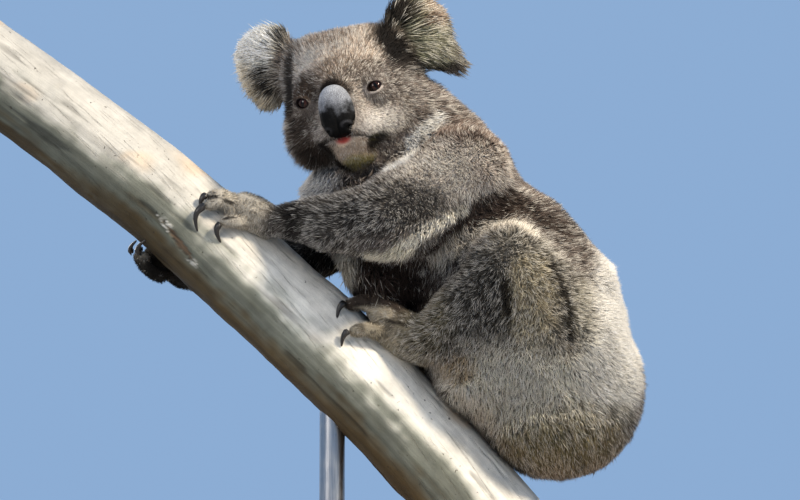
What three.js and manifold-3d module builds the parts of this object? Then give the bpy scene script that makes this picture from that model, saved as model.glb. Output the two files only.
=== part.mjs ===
// A life-size koala holding a sloping length of gum branch, on a plain display stand.
// Millimetres, +Z up. The origin is the middle of the base's underside, on the floor.
// The animal's left side faces -Y. The branch climbs towards -X, and the head is turned
// to look out over the left shoulder, towards -Y.
import * as THREE from "three";
import { mergeVertices } from "three/addons/utils/BufferGeometryUtils.js";
import Module from "manifold-3d";

const wasm = await Module();
wasm.setup();

// ---------------------------------------------------------------- named sizes
const GAP = 0.45; // clearance left between neighbouring solids
const SOFTNESS = 17; // how widely neighbouring masses of the body melt together
const LEAST_LOST = 400; // a cut may shed crumbs up to this many cubic millimetres
const BULGE = 9; // how far a part may swell where it melts into its neighbour

const PERCH = { radiusTop: 43.5, radiusLow: 47.5, rings: 12, sides: 16, lead: 40 };
const BASE = { length: 430, width: 300, height: 24, corner: 10, middle: 4 };
const ROD = { radius: 12, sides: 16, xs: [-64, 64] };

const HEAD = { at: [-46, -35, 522], yaw: -11, pitch: 7, roll: -11.5 };
const EYE = { radius: 8.6, apart: 33.5, ahead: 47.5, up: 5.5 };
const NOSE = { radii: [17.5, 13.5, 26.5], at: [0, -67.5, -7] };
const EAR = { apart: 77, back: 8, up: 50, flare: 24, lean: 8 };

const FUR = 0xa39a8e, DARK = 0x55504a, PALE = 0xd8d2c4, HORN = 0x25211e;

const vec = (a) => new THREE.Vector3(...a);
const rad = THREE.MathUtils.degToRad;

// ---------------------------------------------------------------- the perch's own coordinates
// The branch's axis bends gently, steeper towards the low end.
const PERCH_AXIS = new THREE.CatmullRomCurve3(
  [
    [-432, 0, 587], [-323, 0, 508.5], [-233.5, 0, 439.4], [-142.7, 0, 359.1],
    [-47.4, 0, 270.5], [34.9, 0, 185.4], [96, 0, 117],
  ].map(vec),
  false,
  "centripetal",
);
const PERCH_LENGTH = PERCH_AXIS.getLength();

function perchRadius(s) {
  const t = s / PERCH_LENGTH;
  return THREE.MathUtils.lerp(PERCH.radiusTop, PERCH.radiusLow, Math.min(1, t * 1.5));
}

// The point `s` along the axis, counted from PERCH.lead below the high end, `angle` degrees round from the upper
// side towards -Y, and `height` above the bark.
function onPerch([s, angle, height]) {
  const t = THREE.MathUtils.clamp((s + PERCH.lead) / PERCH_LENGTH, 0, 1);
  const tangent = PERCH_AXIS.getTangentAt(t);
  const upper = new THREE.Vector3(-tangent.z, 0, tangent.x);
  const near = new THREE.Vector3(0, -1, 0);
  const a = rad(angle);
  const out = perchRadius(s) + height;
  return PERCH_AXIS.getPointAt(t)
    .addScaledVector(upper, out * Math.cos(a))
    .addScaledVector(near, out * Math.sin(a));
}

// ---------------------------------------------------------------- distance fields
// Each returns the rough signed distance from a point, negative inside.
function ball(centre, radii, turn = null) {
  const c = centre.isVector3 ? centre.clone() : vec(centre);
  const r = vec(radii);
  const back = turn ? turn.clone().invert() : null;
  return (p) => {
    const q = p.clone().sub(c);
    if (back) q.applyQuaternion(back);
    const k0 = q.clone().divide(r).length();
    const k1 = q.clone().divide(r).divide(r).length();
    return k1 < 1e-9 ? -Math.min(r.x, r.y, r.z) : (k0 * (k0 - 1)) / k1;
  };
}

function taper(from, fromRadius, to, toRadius) {
  const a = from.isVector3 ? from.clone() : vec(from);
  const b = to.isVector3 ? to.clone() : vec(to);
  const axis = b.clone().sub(a);
  const length2 = axis.lengthSq();
  return (p) => {
    const t = THREE.MathUtils.clamp(p.clone().sub(a).dot(axis) / length2, 0, 1);
    const onAxis = a.clone().addScaledVector(axis, t);
    return p.distanceTo(onAxis) - THREE.MathUtils.lerp(fromRadius, toRadius, t);
  };
}

function melt(softness, ...fields) {
  return (p) => {
    let d = fields[0](p);
    for (const f of fields.slice(1)) {
      const e = f(p);
      const h = Math.max(softness - Math.abs(d - e), 0) / softness;
      d = Math.min(d, e) - (h * h * softness) / 4;
    }
    return d;
  };
}

// ---------------------------------------------------------------- carriers draped onto a field
// A carrier is a list of spokes: where each vertex starts inside the body, and which way
// it goes out until it meets the surface.
function globe(centre, detail, stretch = [1, 1, 1]) {
  const g = new THREE.IcosahedronGeometry(1, detail);
  const middle = vec(centre);
  return carrier(g, (v) => {
    const way = v.clone().multiply(vec(stretch)).normalize();
    return { from: middle, way };
  });
}

function sleeve(a, b, caps, sides, bands) {
  const from = a.isVector3 ? a : vec(a);
  const to = b.isVector3 ? b : vec(b);
  const length = from.distanceTo(to);
  const turn = new THREE.Quaternion().setFromUnitVectors(
    new THREE.Vector3(0, 1, 0),
    to.clone().sub(from).normalize(),
  );
  const middle = from.clone().add(to).multiplyScalar(0.5);
  const g = new THREE.CapsuleGeometry(1, length, caps, sides, bands);
  return carrier(g, (v) => {
    const core = new THREE.Vector3(0, THREE.MathUtils.clamp(v.y, -length / 2, length / 2), 0);
    const way = v.clone().sub(core).normalize().applyQuaternion(turn);
    return { from: core.applyQuaternion(turn).add(middle), way };
  });
}

function carrier(geometry, spokeOf) {
  for (const name of ["normal", "uv"]) geometry.deleteAttribute(name);
  const merged = mergeVertices(geometry, 1e-4);
  const at = merged.getAttribute("position");
  const spokes = [];
  for (let i = 0; i < at.count; i++)
    spokes.push(spokeOf(new THREE.Vector3().fromBufferAttribute(at, i)));
  return { index: merged.index.array, spokes };
}

function drape({ index, spokes }, field) {
  const REACH = 260, STEPS = 90;
  const points = [];
  for (const { from, way } of spokes) {
    const at = (t) => field(from.clone().addScaledVector(way, t));
    let inner = 0, outer = REACH;
    for (let i = 1; i <= STEPS; i++) {
      const t = (REACH * i) / STEPS;
      if (at(t) > 0) {
        outer = t;
        break;
      }
      inner = t;
    }
    for (let i = 0; i < 22; i++) {
      const mid = (inner + outer) / 2;
      if (at(mid) > 0) outer = mid;
      else inner = mid;
    }
    points.push(...from.clone().addScaledVector(way, outer).toArray());
  }
  return solidFrom(points, index);
}

function solidFrom(points, index) {
  return new wasm.Manifold(
    new wasm.Mesh({
      numProp: 3,
      vertProperties: new Float32Array(points),
      triVerts: new Uint32Array(index),
    }),
  );
}

// ---------------------------------------------------------------- simple solids
// A swept rod through `path`, with its own radius at every ring and closed ends.
function sweep(path, radii, sides, squash = 1) {
  const points = [];
  const index = [];
  const rings = path.length;
  let side = null;
  path.forEach((p, i) => {
    const before = path[Math.max(0, i - 1)];
    const after = path[Math.min(rings - 1, i + 1)];
    const along = after.clone().sub(before).normalize();
    if (!side) side = new THREE.Vector3(0.31, -0.9, 0.27);
    side.addScaledVector(along, -side.dot(along)).normalize();
    const across = along.clone().cross(side);
    for (let k = 0; k < sides; k++) {
      const a = (2 * Math.PI * k) / sides;
      const out = side.clone().multiplyScalar(Math.cos(a) * radii[i] * squash)
        .addScaledVector(across, Math.sin(a) * radii[i]);
      points.push(...p.clone().add(out).toArray());
    }
  });
  const first = points.length / 3;
  points.push(...path[0].toArray(), ...path[rings - 1].toArray());
  for (let i = 0; i < rings - 1; i++)
    for (let k = 0; k < sides; k++) {
      const n = (k + 1) % sides;
      const [a, b, c, d] = [i * sides + k, i * sides + n, (i + 1) * sides + k, (i + 1) * sides + n];
      index.push(a, b, d, a, d, c);
    }
  for (let k = 0; k < sides; k++) {
    const n = (k + 1) % sides;
    const last = (rings - 1) * sides;
    index.push(first, n, k, first + 1, last + k, last + n);
  }
  return solidFrom(points, index);
}

function bezier(a, b, c, count) {
  const curve = new THREE.QuadraticBezierCurve3(a, b, c);
  return curve.getPoints(count);
}

// ---------------------------------------------------------------- masses of the body
const headTurn = new THREE.Quaternion()
  .setFromAxisAngle(new THREE.Vector3(0, 1, 0), rad(HEAD.roll))
  .multiply(new THREE.Quaternion().setFromAxisAngle(new THREE.Vector3(0, 0, 1), rad(HEAD.yaw)))
  .multiply(new THREE.Quaternion().setFromAxisAngle(new THREE.Vector3(1, 0, 0), rad(HEAD.pitch)));
const inHead = (a) => vec(a).applyQuaternion(headTurn).add(vec(HEAD.at));
const headBall = (centre, radii, tilt = null) =>
  ball(inHead(centre), radii, tilt ? headTurn.clone().multiply(tilt) : headTurn);
const tilted = (x, y, z) =>
  new THREE.Quaternion().setFromEuler(new THREE.Euler(rad(x), rad(y), rad(z), "ZYX"));

const JOINT = {
  chest: [28, 0, 436], loin: [96, 0, 368], pelvis: [146, 0, 254],
  neckLow: [34, 0, 470], neckHigh: [-20, -18, 508],
  shoulder: { l: [60, -52, 450], r: [48, 50, 456] },
  elbow: { l: [-6, -88, 402], r: [-30, 86, 418] },
  hip: { l: [142, -50, 292], r: [140, 52, 296] },
  knee: { l: [104, -84, 356], r: [98, 86, 356] },
};
const wrist = { l: onPerch([314, 38, 18]), r: onPerch([304, -108, 20]) };
const ankle = { l: onPerch([492, 34, 30]), r: onPerch([500, -38, 30]) };

const TRUNK = [
  ball(JOINT.chest, [82, 80, 84]),
  ball([-46, -4, 426], [54, 54, 50]),
  ball([-36, 0, 386], [28, 40, 40]),
  ball([0, 0, 360], [44, 46, 44]),
  ball(JOINT.loin, [86, 86, 87]),
  ball([144, 0, 334], [74, 80, 70]),
  ball([62, 0, 264], [44, 84, 42]),
  ball(JOINT.pelvis, [89, 98, 90]),
];
const NECK = [
  taper(JOINT.neckLow, 62, JOINT.neckHigh, 54),
  ball([-16, -14, 478], [58, 50, 44]),
  ball([12, -8, 512], [44, 46, 42]),
];
const SKULL = [
  headBall([0, 4, 12], [64, 62, 60]),
  headBall([29, 6, 38], [34, 36, 32]),
  headBall([-31, 4, 38], [34, 36, 34]),
  headBall([34, -10, -22], [33, 42, 36]),
  headBall([-34, -10, -22], [33, 42, 36]),
  headBall([0, -44, -16], [27, 30, 30]),
  headBall([0, -32, -44], [29, 33, 25]),
];
const BROW = [headBall([0, -40, 24], [38, 22, 24])];
const LIPS = [
  headBall([15, -58, -32], [15, 14, 12]),
  headBall([-15, -58, -32], [15, 14, 12]),
];

const side = (l, r) => ({ l, r });
const UPPER_ARM = side(
  [taper(JOINT.shoulder.l, 50, JOINT.elbow.l, 40)],
  [taper(JOINT.shoulder.r, 48, JOINT.elbow.r, 38)],
);
const FOREARM = side(
  [taper(JOINT.elbow.l, 41, wrist.l, 16), ball([-42, -82, 386], [56, 20, 17]), ball([6, -94, 384], [22, 18, 17])],
  [taper(JOINT.elbow.r, 39, wrist.r, 17), ball([-56, 84, 396], [50, 20, 17])],
);
const THIGH = side(
  [taper(JOINT.hip.l, 64, JOINT.knee.l, 44), ball([76, -56, 290], [50, 40, 42])],
  [taper(JOINT.hip.r, 64, JOINT.knee.r, 44), ball([76, 56, 292], [50, 40, 42])],
);
const SHANK = side(
  [taper(JOINT.knee.l, 42, ankle.l, 24)],
  [taper(JOINT.knee.r, 42, ankle.r, 24)],
);

// A flesh part is its own masses, melted into those of its neighbours, and kept within
// BULGE of its own.
function flesh(carrierOf, own, neighbours, softness = SOFTNESS) {
  const whole = melt(softness, ...own, ...neighbours);
  const self = melt(softness, ...own);
  return (grow) => drape(carrierOf, (p) => Math.max(whole(p), self(p) - BULGE) - grow);
}

// ---------------------------------------------------------------- hands and feet
// Every digit is [root, knuckle, tip] in the perch's coordinates, with its two radii.
// A claw is [root, bend, point], on from the tip.
const HAND = {
  l: {
    palm: [[294, 42, 13], [22, 14.5, 18]],
    digits: [
      { name: "5", path: [[296, 56, 11], [289, 63, 13], [281, 68, 8]], r: [9.5, 7.5], claw: [[283, 68, 9], [274, 82, 12], [292, 86, 0.5]] },
      { name: "4", path: [[286, 48, 13], [270, 56, 15], [260, 65, 8]], r: [10, 8], claw: [[262, 64, 9], [248, 82, 13], [268, 94, 0.5]] },
      { name: "3", path: [[288, 44, 12], [265, 48, 13], [255, 54, 8]], r: [9.5, 7.5], claw: [[257, 53, 8], [244, 65, 12], [257, 73, 0.5]] },
      { name: "2", path: [[292, 32, 11], [292, 4, 9], [288, -14, 6]], r: [8, 6.5], claw: [[289, -13, 7], [280, -26, 10], [287, -39, 0.5]] },
      { name: "1", path: [[297, 32, 11], [304, 2, 9], [305, -17, 6]], r: [8, 6.5], claw: [[305, -16, 7], [297, -29, 10], [303, -42, 0.5]] },
    ],
  },
  r: {
    palm: [[272, -130, 14], [20, 15, 20]],
    digits: [
      { name: "5", path: [[264, -156, 13], [251, -176, 14], [240, -188, 9]], r: [10, 8], claw: [[241, -187, 10], [227, -196, 13], [233, -207, 0.5]] },
      { name: "4", path: [[262, -144, 14], [246, -160, 16], [233, -167, 11]], r: [10.5, 8.5], claw: [[235, -166, 12], [217, -170, 18], [224, -184, 0.5]] },
      { name: "3", path: [[264, -130, 13], [248, -142, 15], [236, -149, 9]], r: [10, 8], claw: [[238, -148, 10], [223, -151, 15], [226, -165, 0.5]] },
      { name: "2", path: [[282, -112, 13], [272, -94, 13], [265, -84, 7]], r: [8.5, 7], claw: [[266, -85, 8], [255, -78, 11], [260, -62, 0.5]] },
      { name: "1", path: [[294, -112, 12], [290, -92, 12], [285, -80, 7]], r: [8.5, 7], claw: [[286, -81, 8], [276, -72, 11], [281, -58, 0.5]] },
    ],
  },
};
const FOOT = {
  l: {
    palm: [[462, 28, 15], [33, 16, 22]],
    digits: [
      { name: "5", path: [[460, 42, 12], [448, 52, 14], [440, 60, 8]], r: [11, 9], claw: [[442, 59, 9], [429, 70, 13], [441, 80, 0.5]] },
      { name: "4", path: [[448, 24, 14], [430, 30, 16], [419, 39, 9]], r: [11, 9], claw: [[421, 38, 10], [407, 50, 14], [420, 60, 0.5]] },
      { name: "3", path: [[452, 14, 12], [436, 18, 12], [426, 22, 8]], r: [7.5, 6.5], claw: [[428, 22, 8], [415, 30, 12], [422, 39, 0.5]] },
      { name: "2", path: [[454, 2, 11], [439, 4, 11], [430, 6, 7]], r: [7.5, 6.5], claw: [[432, 6, 8], [419, 12, 11], [424, 21, 0.5]] },
      { name: "1", path: [[478, 8, 14], [478, -16, 13], [474, -32, 9]], r: [12, 10], claw: null },
    ],
  },
  r: {
    palm: [[472, -34, 15], [33, 16, 22]],
    digits: [
      { name: "5", path: [[470, -48, 12], [458, -58, 14], [450, -66, 8]], r: [11, 9], claw: [[452, -65, 9], [439, -76, 13], [451, -86, 0.5]] },
      { name: "4", path: [[458, -30, 14], [440, -38, 16], [429, -47, 9]], r: [11, 9], claw: [[431, -46, 10], [417, -58, 14], [430, -68, 0.5]] },
      { name: "3", path: [[462, -18, 12], [446, -23, 12], [437, -28, 8]], r: [7.5, 6.5], claw: [[439, -28, 8], [426, -36, 12], [432, -45, 0.5]] },
      { name: "2", path: [[464, -6, 11], [450, -9, 11], [441, -13, 7]], r: [7.5, 6.5], claw: [[443, -13, 8], [431, -20, 11], [435, -28, 0.5]] },
      { name: "1", path: [[490, -16, 14], [494, 6, 13], [496, 22, 9]], r: [12, 10], claw: null },
    ],
  },
};
const CLAW = { hand: 3.3, foot: 3.6, tip: 0.55, rings: 4, sides: 5 };

const DIGIT = { rings: 3, sides: 6, end: [[0.8, 0.55]] };

function clawSolid(path, thick, grow) {
  const [root, bend, point] = path.map(onPerch);
  const line = bezier(root, bend, point, CLAW.rings);
  const radii = line.map((_, i) => {
    const t = i / CLAW.rings;
    return THREE.MathUtils.lerp(thick, CLAW.tip, Math.pow(t, 1.15)) + grow;
  });
  return sweep(line, radii, CLAW.sides, 0.82);
}

// A palm or sole lying on the bark, joined to its digits.
function pawSolid(paw, limbEnd, limbRadius, grow) {
  const [place, radii] = paw.palm;
  const middle = onPerch(place);
  const up = middle.clone().sub(onPerch([place[0], place[1], -PERCH.radiusTop])).normalize();
  const along = PERCH_AXIS.getTangentAt((place[0] + PERCH.lead) / PERCH_LENGTH);
  const turn = new THREE.Quaternion().setFromRotationMatrix(
    new THREE.Matrix4().makeBasis(along, up.clone().cross(along).negate(), up),
  );
  const pad = ball(middle, [radii[0], radii[2], radii[1]], turn);
  const heel = taper(middle, radii[1] * 0.9, limbEnd, limbRadius);
  const whole = melt(12, pad, heel);
  let solid = drape(sleeve(middle, limbEnd, 2, 9, 1), (p) => whole(p) - grow);
  for (const { path, r } of paw.digits) {
    const [root, knuckle, tip] = path.map(onPerch);
    solid = solid.add(digitSolid(root, knuckle, tip, r, grow));
  }
  return solid;
}

// A finger or toe bent over its knuckle, with a rounded end.
function digitSolid(root, knuckle, tip, [thick, thin], grow) {
  const bend = knuckle.clone().multiplyScalar(2).sub(root.clone().add(tip).multiplyScalar(0.5));
  const line = bezier(root, bend, tip, DIGIT.rings);
  const onward = tip.clone().sub(knuckle).normalize();
  const radii = line.map((_, i) => THREE.MathUtils.lerp(thick, thin, i / DIGIT.rings) + grow);
  for (const [ahead, share] of DIGIT.end) {
    line.push(tip.clone().addScaledVector(onward, ahead * (thin + grow)));
    radii.push(share * (thin + grow));
  }
  return sweep(line, radii, DIGIT.sides);
}

// ---------------------------------------------------------------- perch and stand
function perchSolid(grow) {
  const path = [];
  const radii = [];
  for (let i = 0; i <= PERCH.rings; i++) {
    const t = i / PERCH.rings;
    path.push(PERCH_AXIS.getPointAt(t));
    radii.push(perchRadius(t * PERCH_LENGTH) + grow + 0.8 * Math.sin(9 * t) * Math.sin(23 * t));
  }
  path[0].addScaledVector(PERCH_AXIS.getTangentAt(0), -grow);
  path[PERCH.rings].addScaledVector(PERCH_AXIS.getTangentAt(1), grow);
  return sweep(path, radii, PERCH.sides);
}

function baseSolid() {
  const shape = new THREE.Shape();
  const [x, y, r] = [BASE.length / 2, BASE.width / 2, BASE.corner];
  shape.moveTo(-x + r, -y).lineTo(x - r, -y).quadraticCurveTo(x, -y, x, -y + r);
  shape.lineTo(x, y - r).quadraticCurveTo(x, y, x - r, y);
  shape.lineTo(-x + r, y).quadraticCurveTo(-x, y, -x, y - r);
  shape.lineTo(-x, -y + r).quadraticCurveTo(-x, -y, -x + r, -y);
  const g = new THREE.ExtrudeGeometry(shape, { depth: BASE.height, bevelEnabled: false, curveSegments: 2 });
  g.translate(BASE.middle, 0, 0);
  return fromGeometry(g);
}

function rodSolid(x) {
  const t = nearestAlong(x);
  const top = PERCH_AXIS.getPointAt(t).z;
  const low = BASE.height + GAP;
  const g = new THREE.CylinderGeometry(ROD.radius, ROD.radius, top - low, ROD.sides);
  g.rotateX(Math.PI / 2);
  g.translate(x, 0, (top + low) / 2);
  return fromGeometry(g);
}

function nearestAlong(x) {
  let [a, b] = [0, 1];
  for (let i = 0; i < 30; i++) {
    const mid = (a + b) / 2;
    if (PERCH_AXIS.getPointAt(mid).x < x) a = mid;
    else b = mid;
  }
  return (a + b) / 2;
}

function fromGeometry(g) {
  for (const name of ["normal", "uv"]) g.deleteAttribute(name);
  const merged = mergeVertices(g, 1e-3);
  return solidFrom(merged.getAttribute("position").array, merged.index.array);
}

// ---------------------------------------------------------------- ears
// A thick round cup, hollowed on its front, with a fringe hanging from its outer edge.
function earSolid(hand, grow) {
  const at = [hand * EAR.apart, EAR.back, EAR.up];
  const tilt = tilted(EAR.lean, 0, hand * EAR.flare);
  const local = (x, y, z) => {
    const q = vec([hand * x, y, z]).applyQuaternion(tilt);
    return [at[0] + q.x, at[1] + q.y, at[2] + q.z];
  };
  const masses = hand > 0
    ? [headBall(local(-5, 0, 2), [40, 18, 40], tilt), headBall(local(28, 2, -34), [22, 14, 17], tilt)]
    : [headBall(local(0, 0, 4), [33, 18, 38], tilt), headBall(local(6, 2, -28), [19, 13, 18], tilt),
       headBall(local(-24, 4, 22), [20, 16, 18], tilt)];
  const shell = melt(12, ...masses);
  const hollow = headBall(local(2, -22, 4), [22, 13, 26], tilt);
  return drape(globe(inHead(local(0, 5, 0)).toArray(), 3), (p) => Math.max(shell(p), -hollow(p)) - grow);
}

const eyeAt = (hand) => inHead([hand * EYE.apart, -EYE.ahead, EYE.up]);
const eyeSolid = (hand, grow) => {
  const f = ball(eyeAt(hand), [EYE.radius, EYE.radius, EYE.radius]);
  return drape(globe(eyeAt(hand).toArray(), 1), (p) => f(p) - grow);
};
const noseSolid = (grow) => {
  const f = melt(8, headBall(NOSE.at, NOSE.radii), headBall([0, -71, -26], [17, 13, 11]));
  return drape(globe(inHead(NOSE.at).toArray(), 2), (p) => f(p) - grow);
};

// ---------------------------------------------------------------- assembly
const trunkSleeve = sleeve([20, 0, 426], [140, 0, 268], 6, 18, 5);
const makers = new Map();
const paint = new Map();
function define(name, maker, colour) {
  makers.set(name, maker);
  paint.set(name, colour);
}

define("perch_branch", perchSolid, 0xcfc7b8);
define("eye_l", (g) => eyeSolid(1, g), HORN);
define("eye_r", (g) => eyeSolid(-1, g), HORN);
define("nose", noseSolid, HORN);
define("trunk", flesh(trunkSleeve, TRUNK, [...NECK, ...THIGH.l, ...THIGH.r, ...UPPER_ARM.l, ...UPPER_ARM.r]), FUR);
define("neck", flesh(globe([-2, -10, 490], 2), NECK, [...TRUNK, ...SKULL]), FUR);
define("head", flesh(globe(inHead([0, -14, -6]).toArray(), 7), [...SKULL, ...BROW, ...LIPS], NECK, 13), FUR);
define("ear_l", (g) => earSolid(1, g), PALE);
define("ear_r", (g) => earSolid(-1, g), PALE);
for (const s of ["l", "r"]) {
  const J = JOINT;
  define(`thigh_${s}`, flesh(sleeve(J.hip[s], J.knee[s], 3, 12, 2), THIGH[s], [...TRUNK, ...SHANK[s]]), FUR);
  define(`shank_${s}`, flesh(sleeve(J.knee[s], ankle[s], 3, 10, 2), SHANK[s], THIGH[s], 12), FUR);
  define(`foot_${s}`, (g) => pawSolid(FOOT[s], ankle[s], 22, g), DARK);
  define(`upper_arm_${s}`, flesh(sleeve(J.shoulder[s], J.elbow[s], 3, 12, 2), UPPER_ARM[s], [...TRUNK, ...FOREARM[s]]), FUR);
  define(`forearm_${s}`, flesh(sleeve(J.elbow[s], wrist[s], 2, 12, 4), FOREARM[s], UPPER_ARM[s], 12), FUR);
  define(`hand_${s}`, (g) => pawSolid(HAND[s], wrist[s], 15, g), DARK);
}

for (const [limb, paws] of [["hand", HAND], ["foot", FOOT]])
  for (const s of ["l", "r"])
    for (const { name, claw } of paws[s].digits)
      if (claw) define(`claw_${limb}_${s}_${name}`, (g) => clawSolid(claw, CLAW[limb], g), HORN);

// A part gives way to all those made before it, by the clearance.
const group = new THREE.Group();
const done = [];
function bounds(solid) {
  const b = solid.boundingBox();
  return new THREE.Box3(vec(b.min), vec(b.max));
}
function place(name, solid, colour) {
  for (const other of done)
    if (bounds(solid).intersectsBox(other.box)) solid = solid.subtract(other.grown);
  const pieces = solid.decompose().sort((a, b) => b.volume() - a.volume());
  if (!pieces.length || (pieces[1] && pieces[1].volume() > LEAST_LOST))
    throw new Error(`${name} is cut in two or lost`);
  const mesh = pieces[0].simplify(GAP * 0.35).getMesh();
  const g = new THREE.BufferGeometry();
  g.setAttribute("position", new THREE.BufferAttribute(new Float32Array(mesh.vertProperties), 3));
  g.setIndex(new THREE.BufferAttribute(new Uint32Array(mesh.triVerts), 1));
  g.computeVertexNormals();
  const m = new THREE.Mesh(g, new THREE.MeshStandardMaterial({ color: colour, roughness: 0.9 }));
  m.name = name;
  group.add(m);
}

for (const [name, maker] of makers) {
  place(name, maker(0), paint.get(name));
  const grown = maker(GAP);
  done.push({ grown, box: bounds(grown) });
}
place("stand_base", baseSolid(), 0x8a7660);
ROD.xs.forEach((x, i) => place(`stand_rod_${i + 1}`, rodSolid(x), 0x9a9a9a));

export default group;
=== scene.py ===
"""A life-size koala hugging a length of gum branch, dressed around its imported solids.

Sizes are in millimetres and angles in degrees. Meshes are written in metres.
"""

import logging
import math
from dataclasses import dataclass, field
from enum import Enum

import bmesh
import bpy
import numpy as np
from bpy.types import ID, Material, Mesh, Node, NodeSocket, Object, bpy_prop_collection
from mathutils.bvhtree import BVHTree
from mathutils.kdtree import KDTree
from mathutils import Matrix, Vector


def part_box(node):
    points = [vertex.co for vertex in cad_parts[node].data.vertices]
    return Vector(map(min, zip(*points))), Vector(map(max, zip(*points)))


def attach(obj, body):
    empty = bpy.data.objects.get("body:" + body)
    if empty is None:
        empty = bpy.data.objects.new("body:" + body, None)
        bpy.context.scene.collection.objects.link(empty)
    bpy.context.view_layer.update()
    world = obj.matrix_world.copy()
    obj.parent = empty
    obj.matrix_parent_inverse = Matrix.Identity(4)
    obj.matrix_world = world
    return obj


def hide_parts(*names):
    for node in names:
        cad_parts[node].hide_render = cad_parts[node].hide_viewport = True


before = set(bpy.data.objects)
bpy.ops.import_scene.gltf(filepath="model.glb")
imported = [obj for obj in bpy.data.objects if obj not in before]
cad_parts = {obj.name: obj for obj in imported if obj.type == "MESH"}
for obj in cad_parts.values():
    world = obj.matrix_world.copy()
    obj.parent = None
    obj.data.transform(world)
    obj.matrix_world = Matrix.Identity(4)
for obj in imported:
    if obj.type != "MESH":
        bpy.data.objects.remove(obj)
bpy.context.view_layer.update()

Array = np.ndarray
MM = 0.001
EYE = (33.5, -47.5, 5.5)
PAD_LEVEL = -9.6
TONE_LAYER = "coat_tone"
UV_LAYER = "OFBake"
CELL_PRIMES = (73856093, 19349663, 83492791)
log = logging.getLogger("koala")


# ---------------------------------------------------------------- numbers and meshes
def tone(code: str) -> Array:
    """Returns the linear colour of an sRGB hex code."""
    srgb = np.array([int(code[i : i + 2], 16) for i in (1, 3, 5)]) / 255
    return np.where(srgb <= 0.04045, srgb / 12.92, ((srgb + 0.055) / 1.055) ** 2.4)


def tint(colours: Array, share: Array, code: str) -> None:
    """Moves linear colours towards a hex code's, each by its own share."""
    colours += share[:, None] * (tone(code) - colours)


def fade(x: Array, low: float, high: float) -> Array:
    """Returns 0 below low, 1 above high and a smooth rise between them."""
    t = np.clip((x - low) / (high - low), 0, 1)
    return t * t * (3 - 2 * t)


def unit(vectors: Array) -> Array:
    """Returns the vectors at length 1."""
    return vectors / np.maximum(np.linalg.norm(vectors, axis=-1, keepdims=True), 1e-9)


def cell_numbers(cells: Array) -> Array:
    """Returns one whole number for each cell of a grid, from its three indices."""
    return np.bitwise_xor.reduce(cells * np.array(CELL_PRIMES), axis=1)


def noise(points: Array, size: float, seed: int) -> Array:
    """Smooth noise between -1 and 1.

    Args:
        points: Places in millimetres, one to a row.
        size: About how far it is from one lump to the next.
        seed: Which noise of its kind.

    Returns:
        One value for each point.
    """
    q = points / size + seed * 17.31
    base = np.floor(q).astype(np.int64)
    f = q - base
    f = f * f * (3 - 2 * f)
    total = np.zeros(len(points))
    for corner in range(8):
        step = np.array([corner & 1, corner >> 1 & 1, corner >> 2 & 1])
        mixed = cell_numbers(base + step) ^ seed * 2654435
        mixed = (mixed ^ mixed >> 13) * 1274126177 & 0xFFFFFFFF
        mixed = (mixed ^ mixed >> 15) * 668265263 & 0xFFFFFFFF
        share = np.prod(np.where(step, f, 1 - f), axis=1)
        total += share * (mixed / 0x7FFFFFFF - 1)
    return total


def bounded(points: Array, centre: tuple, radii: tuple) -> Array:
    """Returns each point's distance from a centre, counted in an ellipsoid's radii."""
    return np.linalg.norm((points - np.array(centre)) / np.array(radii), axis=1)


def left_half(local: Array) -> Array:
    """Returns places in the head's axes, with those on its right mirrored to its left."""
    return np.abs(local) * (1, 0, 0) + local * (0, 1, 1)


def near_half(points: Array) -> Array:
    """Returns places in the frame, with those on the far side mirrored to the near one."""
    return points * (1, 0, 1) - np.abs(points) * (0, 1, 0)


def pad_distance(local: Array, oval: tuple) -> Array:
    """Returns each place's distance from the nose pad's middle, counted in an upright oval's half sizes."""
    return np.hypot(local[:, 0] / oval[0], (local[:, 2] - PAD_LEVEL) / oval[1])


def gathered(items: bpy_prop_collection, name: str, width: int, kind: type = float) -> Array:
    """Returns one property of every item of a mesh, with its numbers in a row."""
    values = np.empty(len(items) * width, kind)
    items.foreach_get(name, values)
    return values.reshape(-1, width)


def read_mesh(mesh: Mesh) -> tuple[Array, Array]:
    """Returns a mesh's points in millimetres and its triangles."""
    mesh.calc_loop_triangles()
    return gathered(mesh.vertices, "co", 3) / MM, gathered(mesh.loop_triangles, "vertices", 3, np.int32)


def write_points(mesh: Mesh, points: Array) -> None:
    """Moves a mesh's points to these places in millimetres."""
    mesh.vertices.foreach_set("co", (points * MM).ravel())
    mesh.update()


def linked(name: str, data: ID) -> Object:
    """Returns a new object of some data, linked to the scene."""
    made = bpy.data.objects.new(name, data)
    bpy.context.collection.objects.link(made)
    return made


def shade_smooth(mesh: Mesh) -> None:
    """Marks every face of a mesh as part of a smooth surface."""
    mesh.polygons.foreach_set("use_smooth", np.ones(len(mesh.polygons), bool))


def new_object(name: str, points: Array, faces: Array) -> Object:
    """Makes an object from points and faces of one size.

    Args:
        name: The object's name.
        points: Places in millimetres.
        faces: One face to a row, as indices of its corners.

    Returns:
        The object, shaded smooth and linked to the scene.
    """
    mesh = bpy.data.meshes.new(name)
    count, corners = faces.shape
    mesh.vertices.add(len(points))
    mesh.vertices.foreach_set("co", (points * MM).ravel())
    mesh.loops.add(count * corners)
    mesh.loops.foreach_set("vertex_index", faces.ravel())
    mesh.polygons.add(count)
    mesh.polygons.foreach_set("loop_start", np.arange(count) * corners)
    mesh.polygons.foreach_set("loop_total", np.full(count, corners))
    shade_smooth(mesh)
    mesh.update(calc_edges=True)
    return linked(name, mesh)


def closed(mesh: Mesh) -> None:
    """Fills a mesh's open rims and turns its faces outward."""
    work = bmesh.new()
    work.from_mesh(mesh)
    bmesh.ops.holes_fill(work, edges=work.edges, sides=0)
    bmesh.ops.recalc_face_normals(work, faces=work.faces)
    work.to_mesh(mesh)
    work.free()


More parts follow.
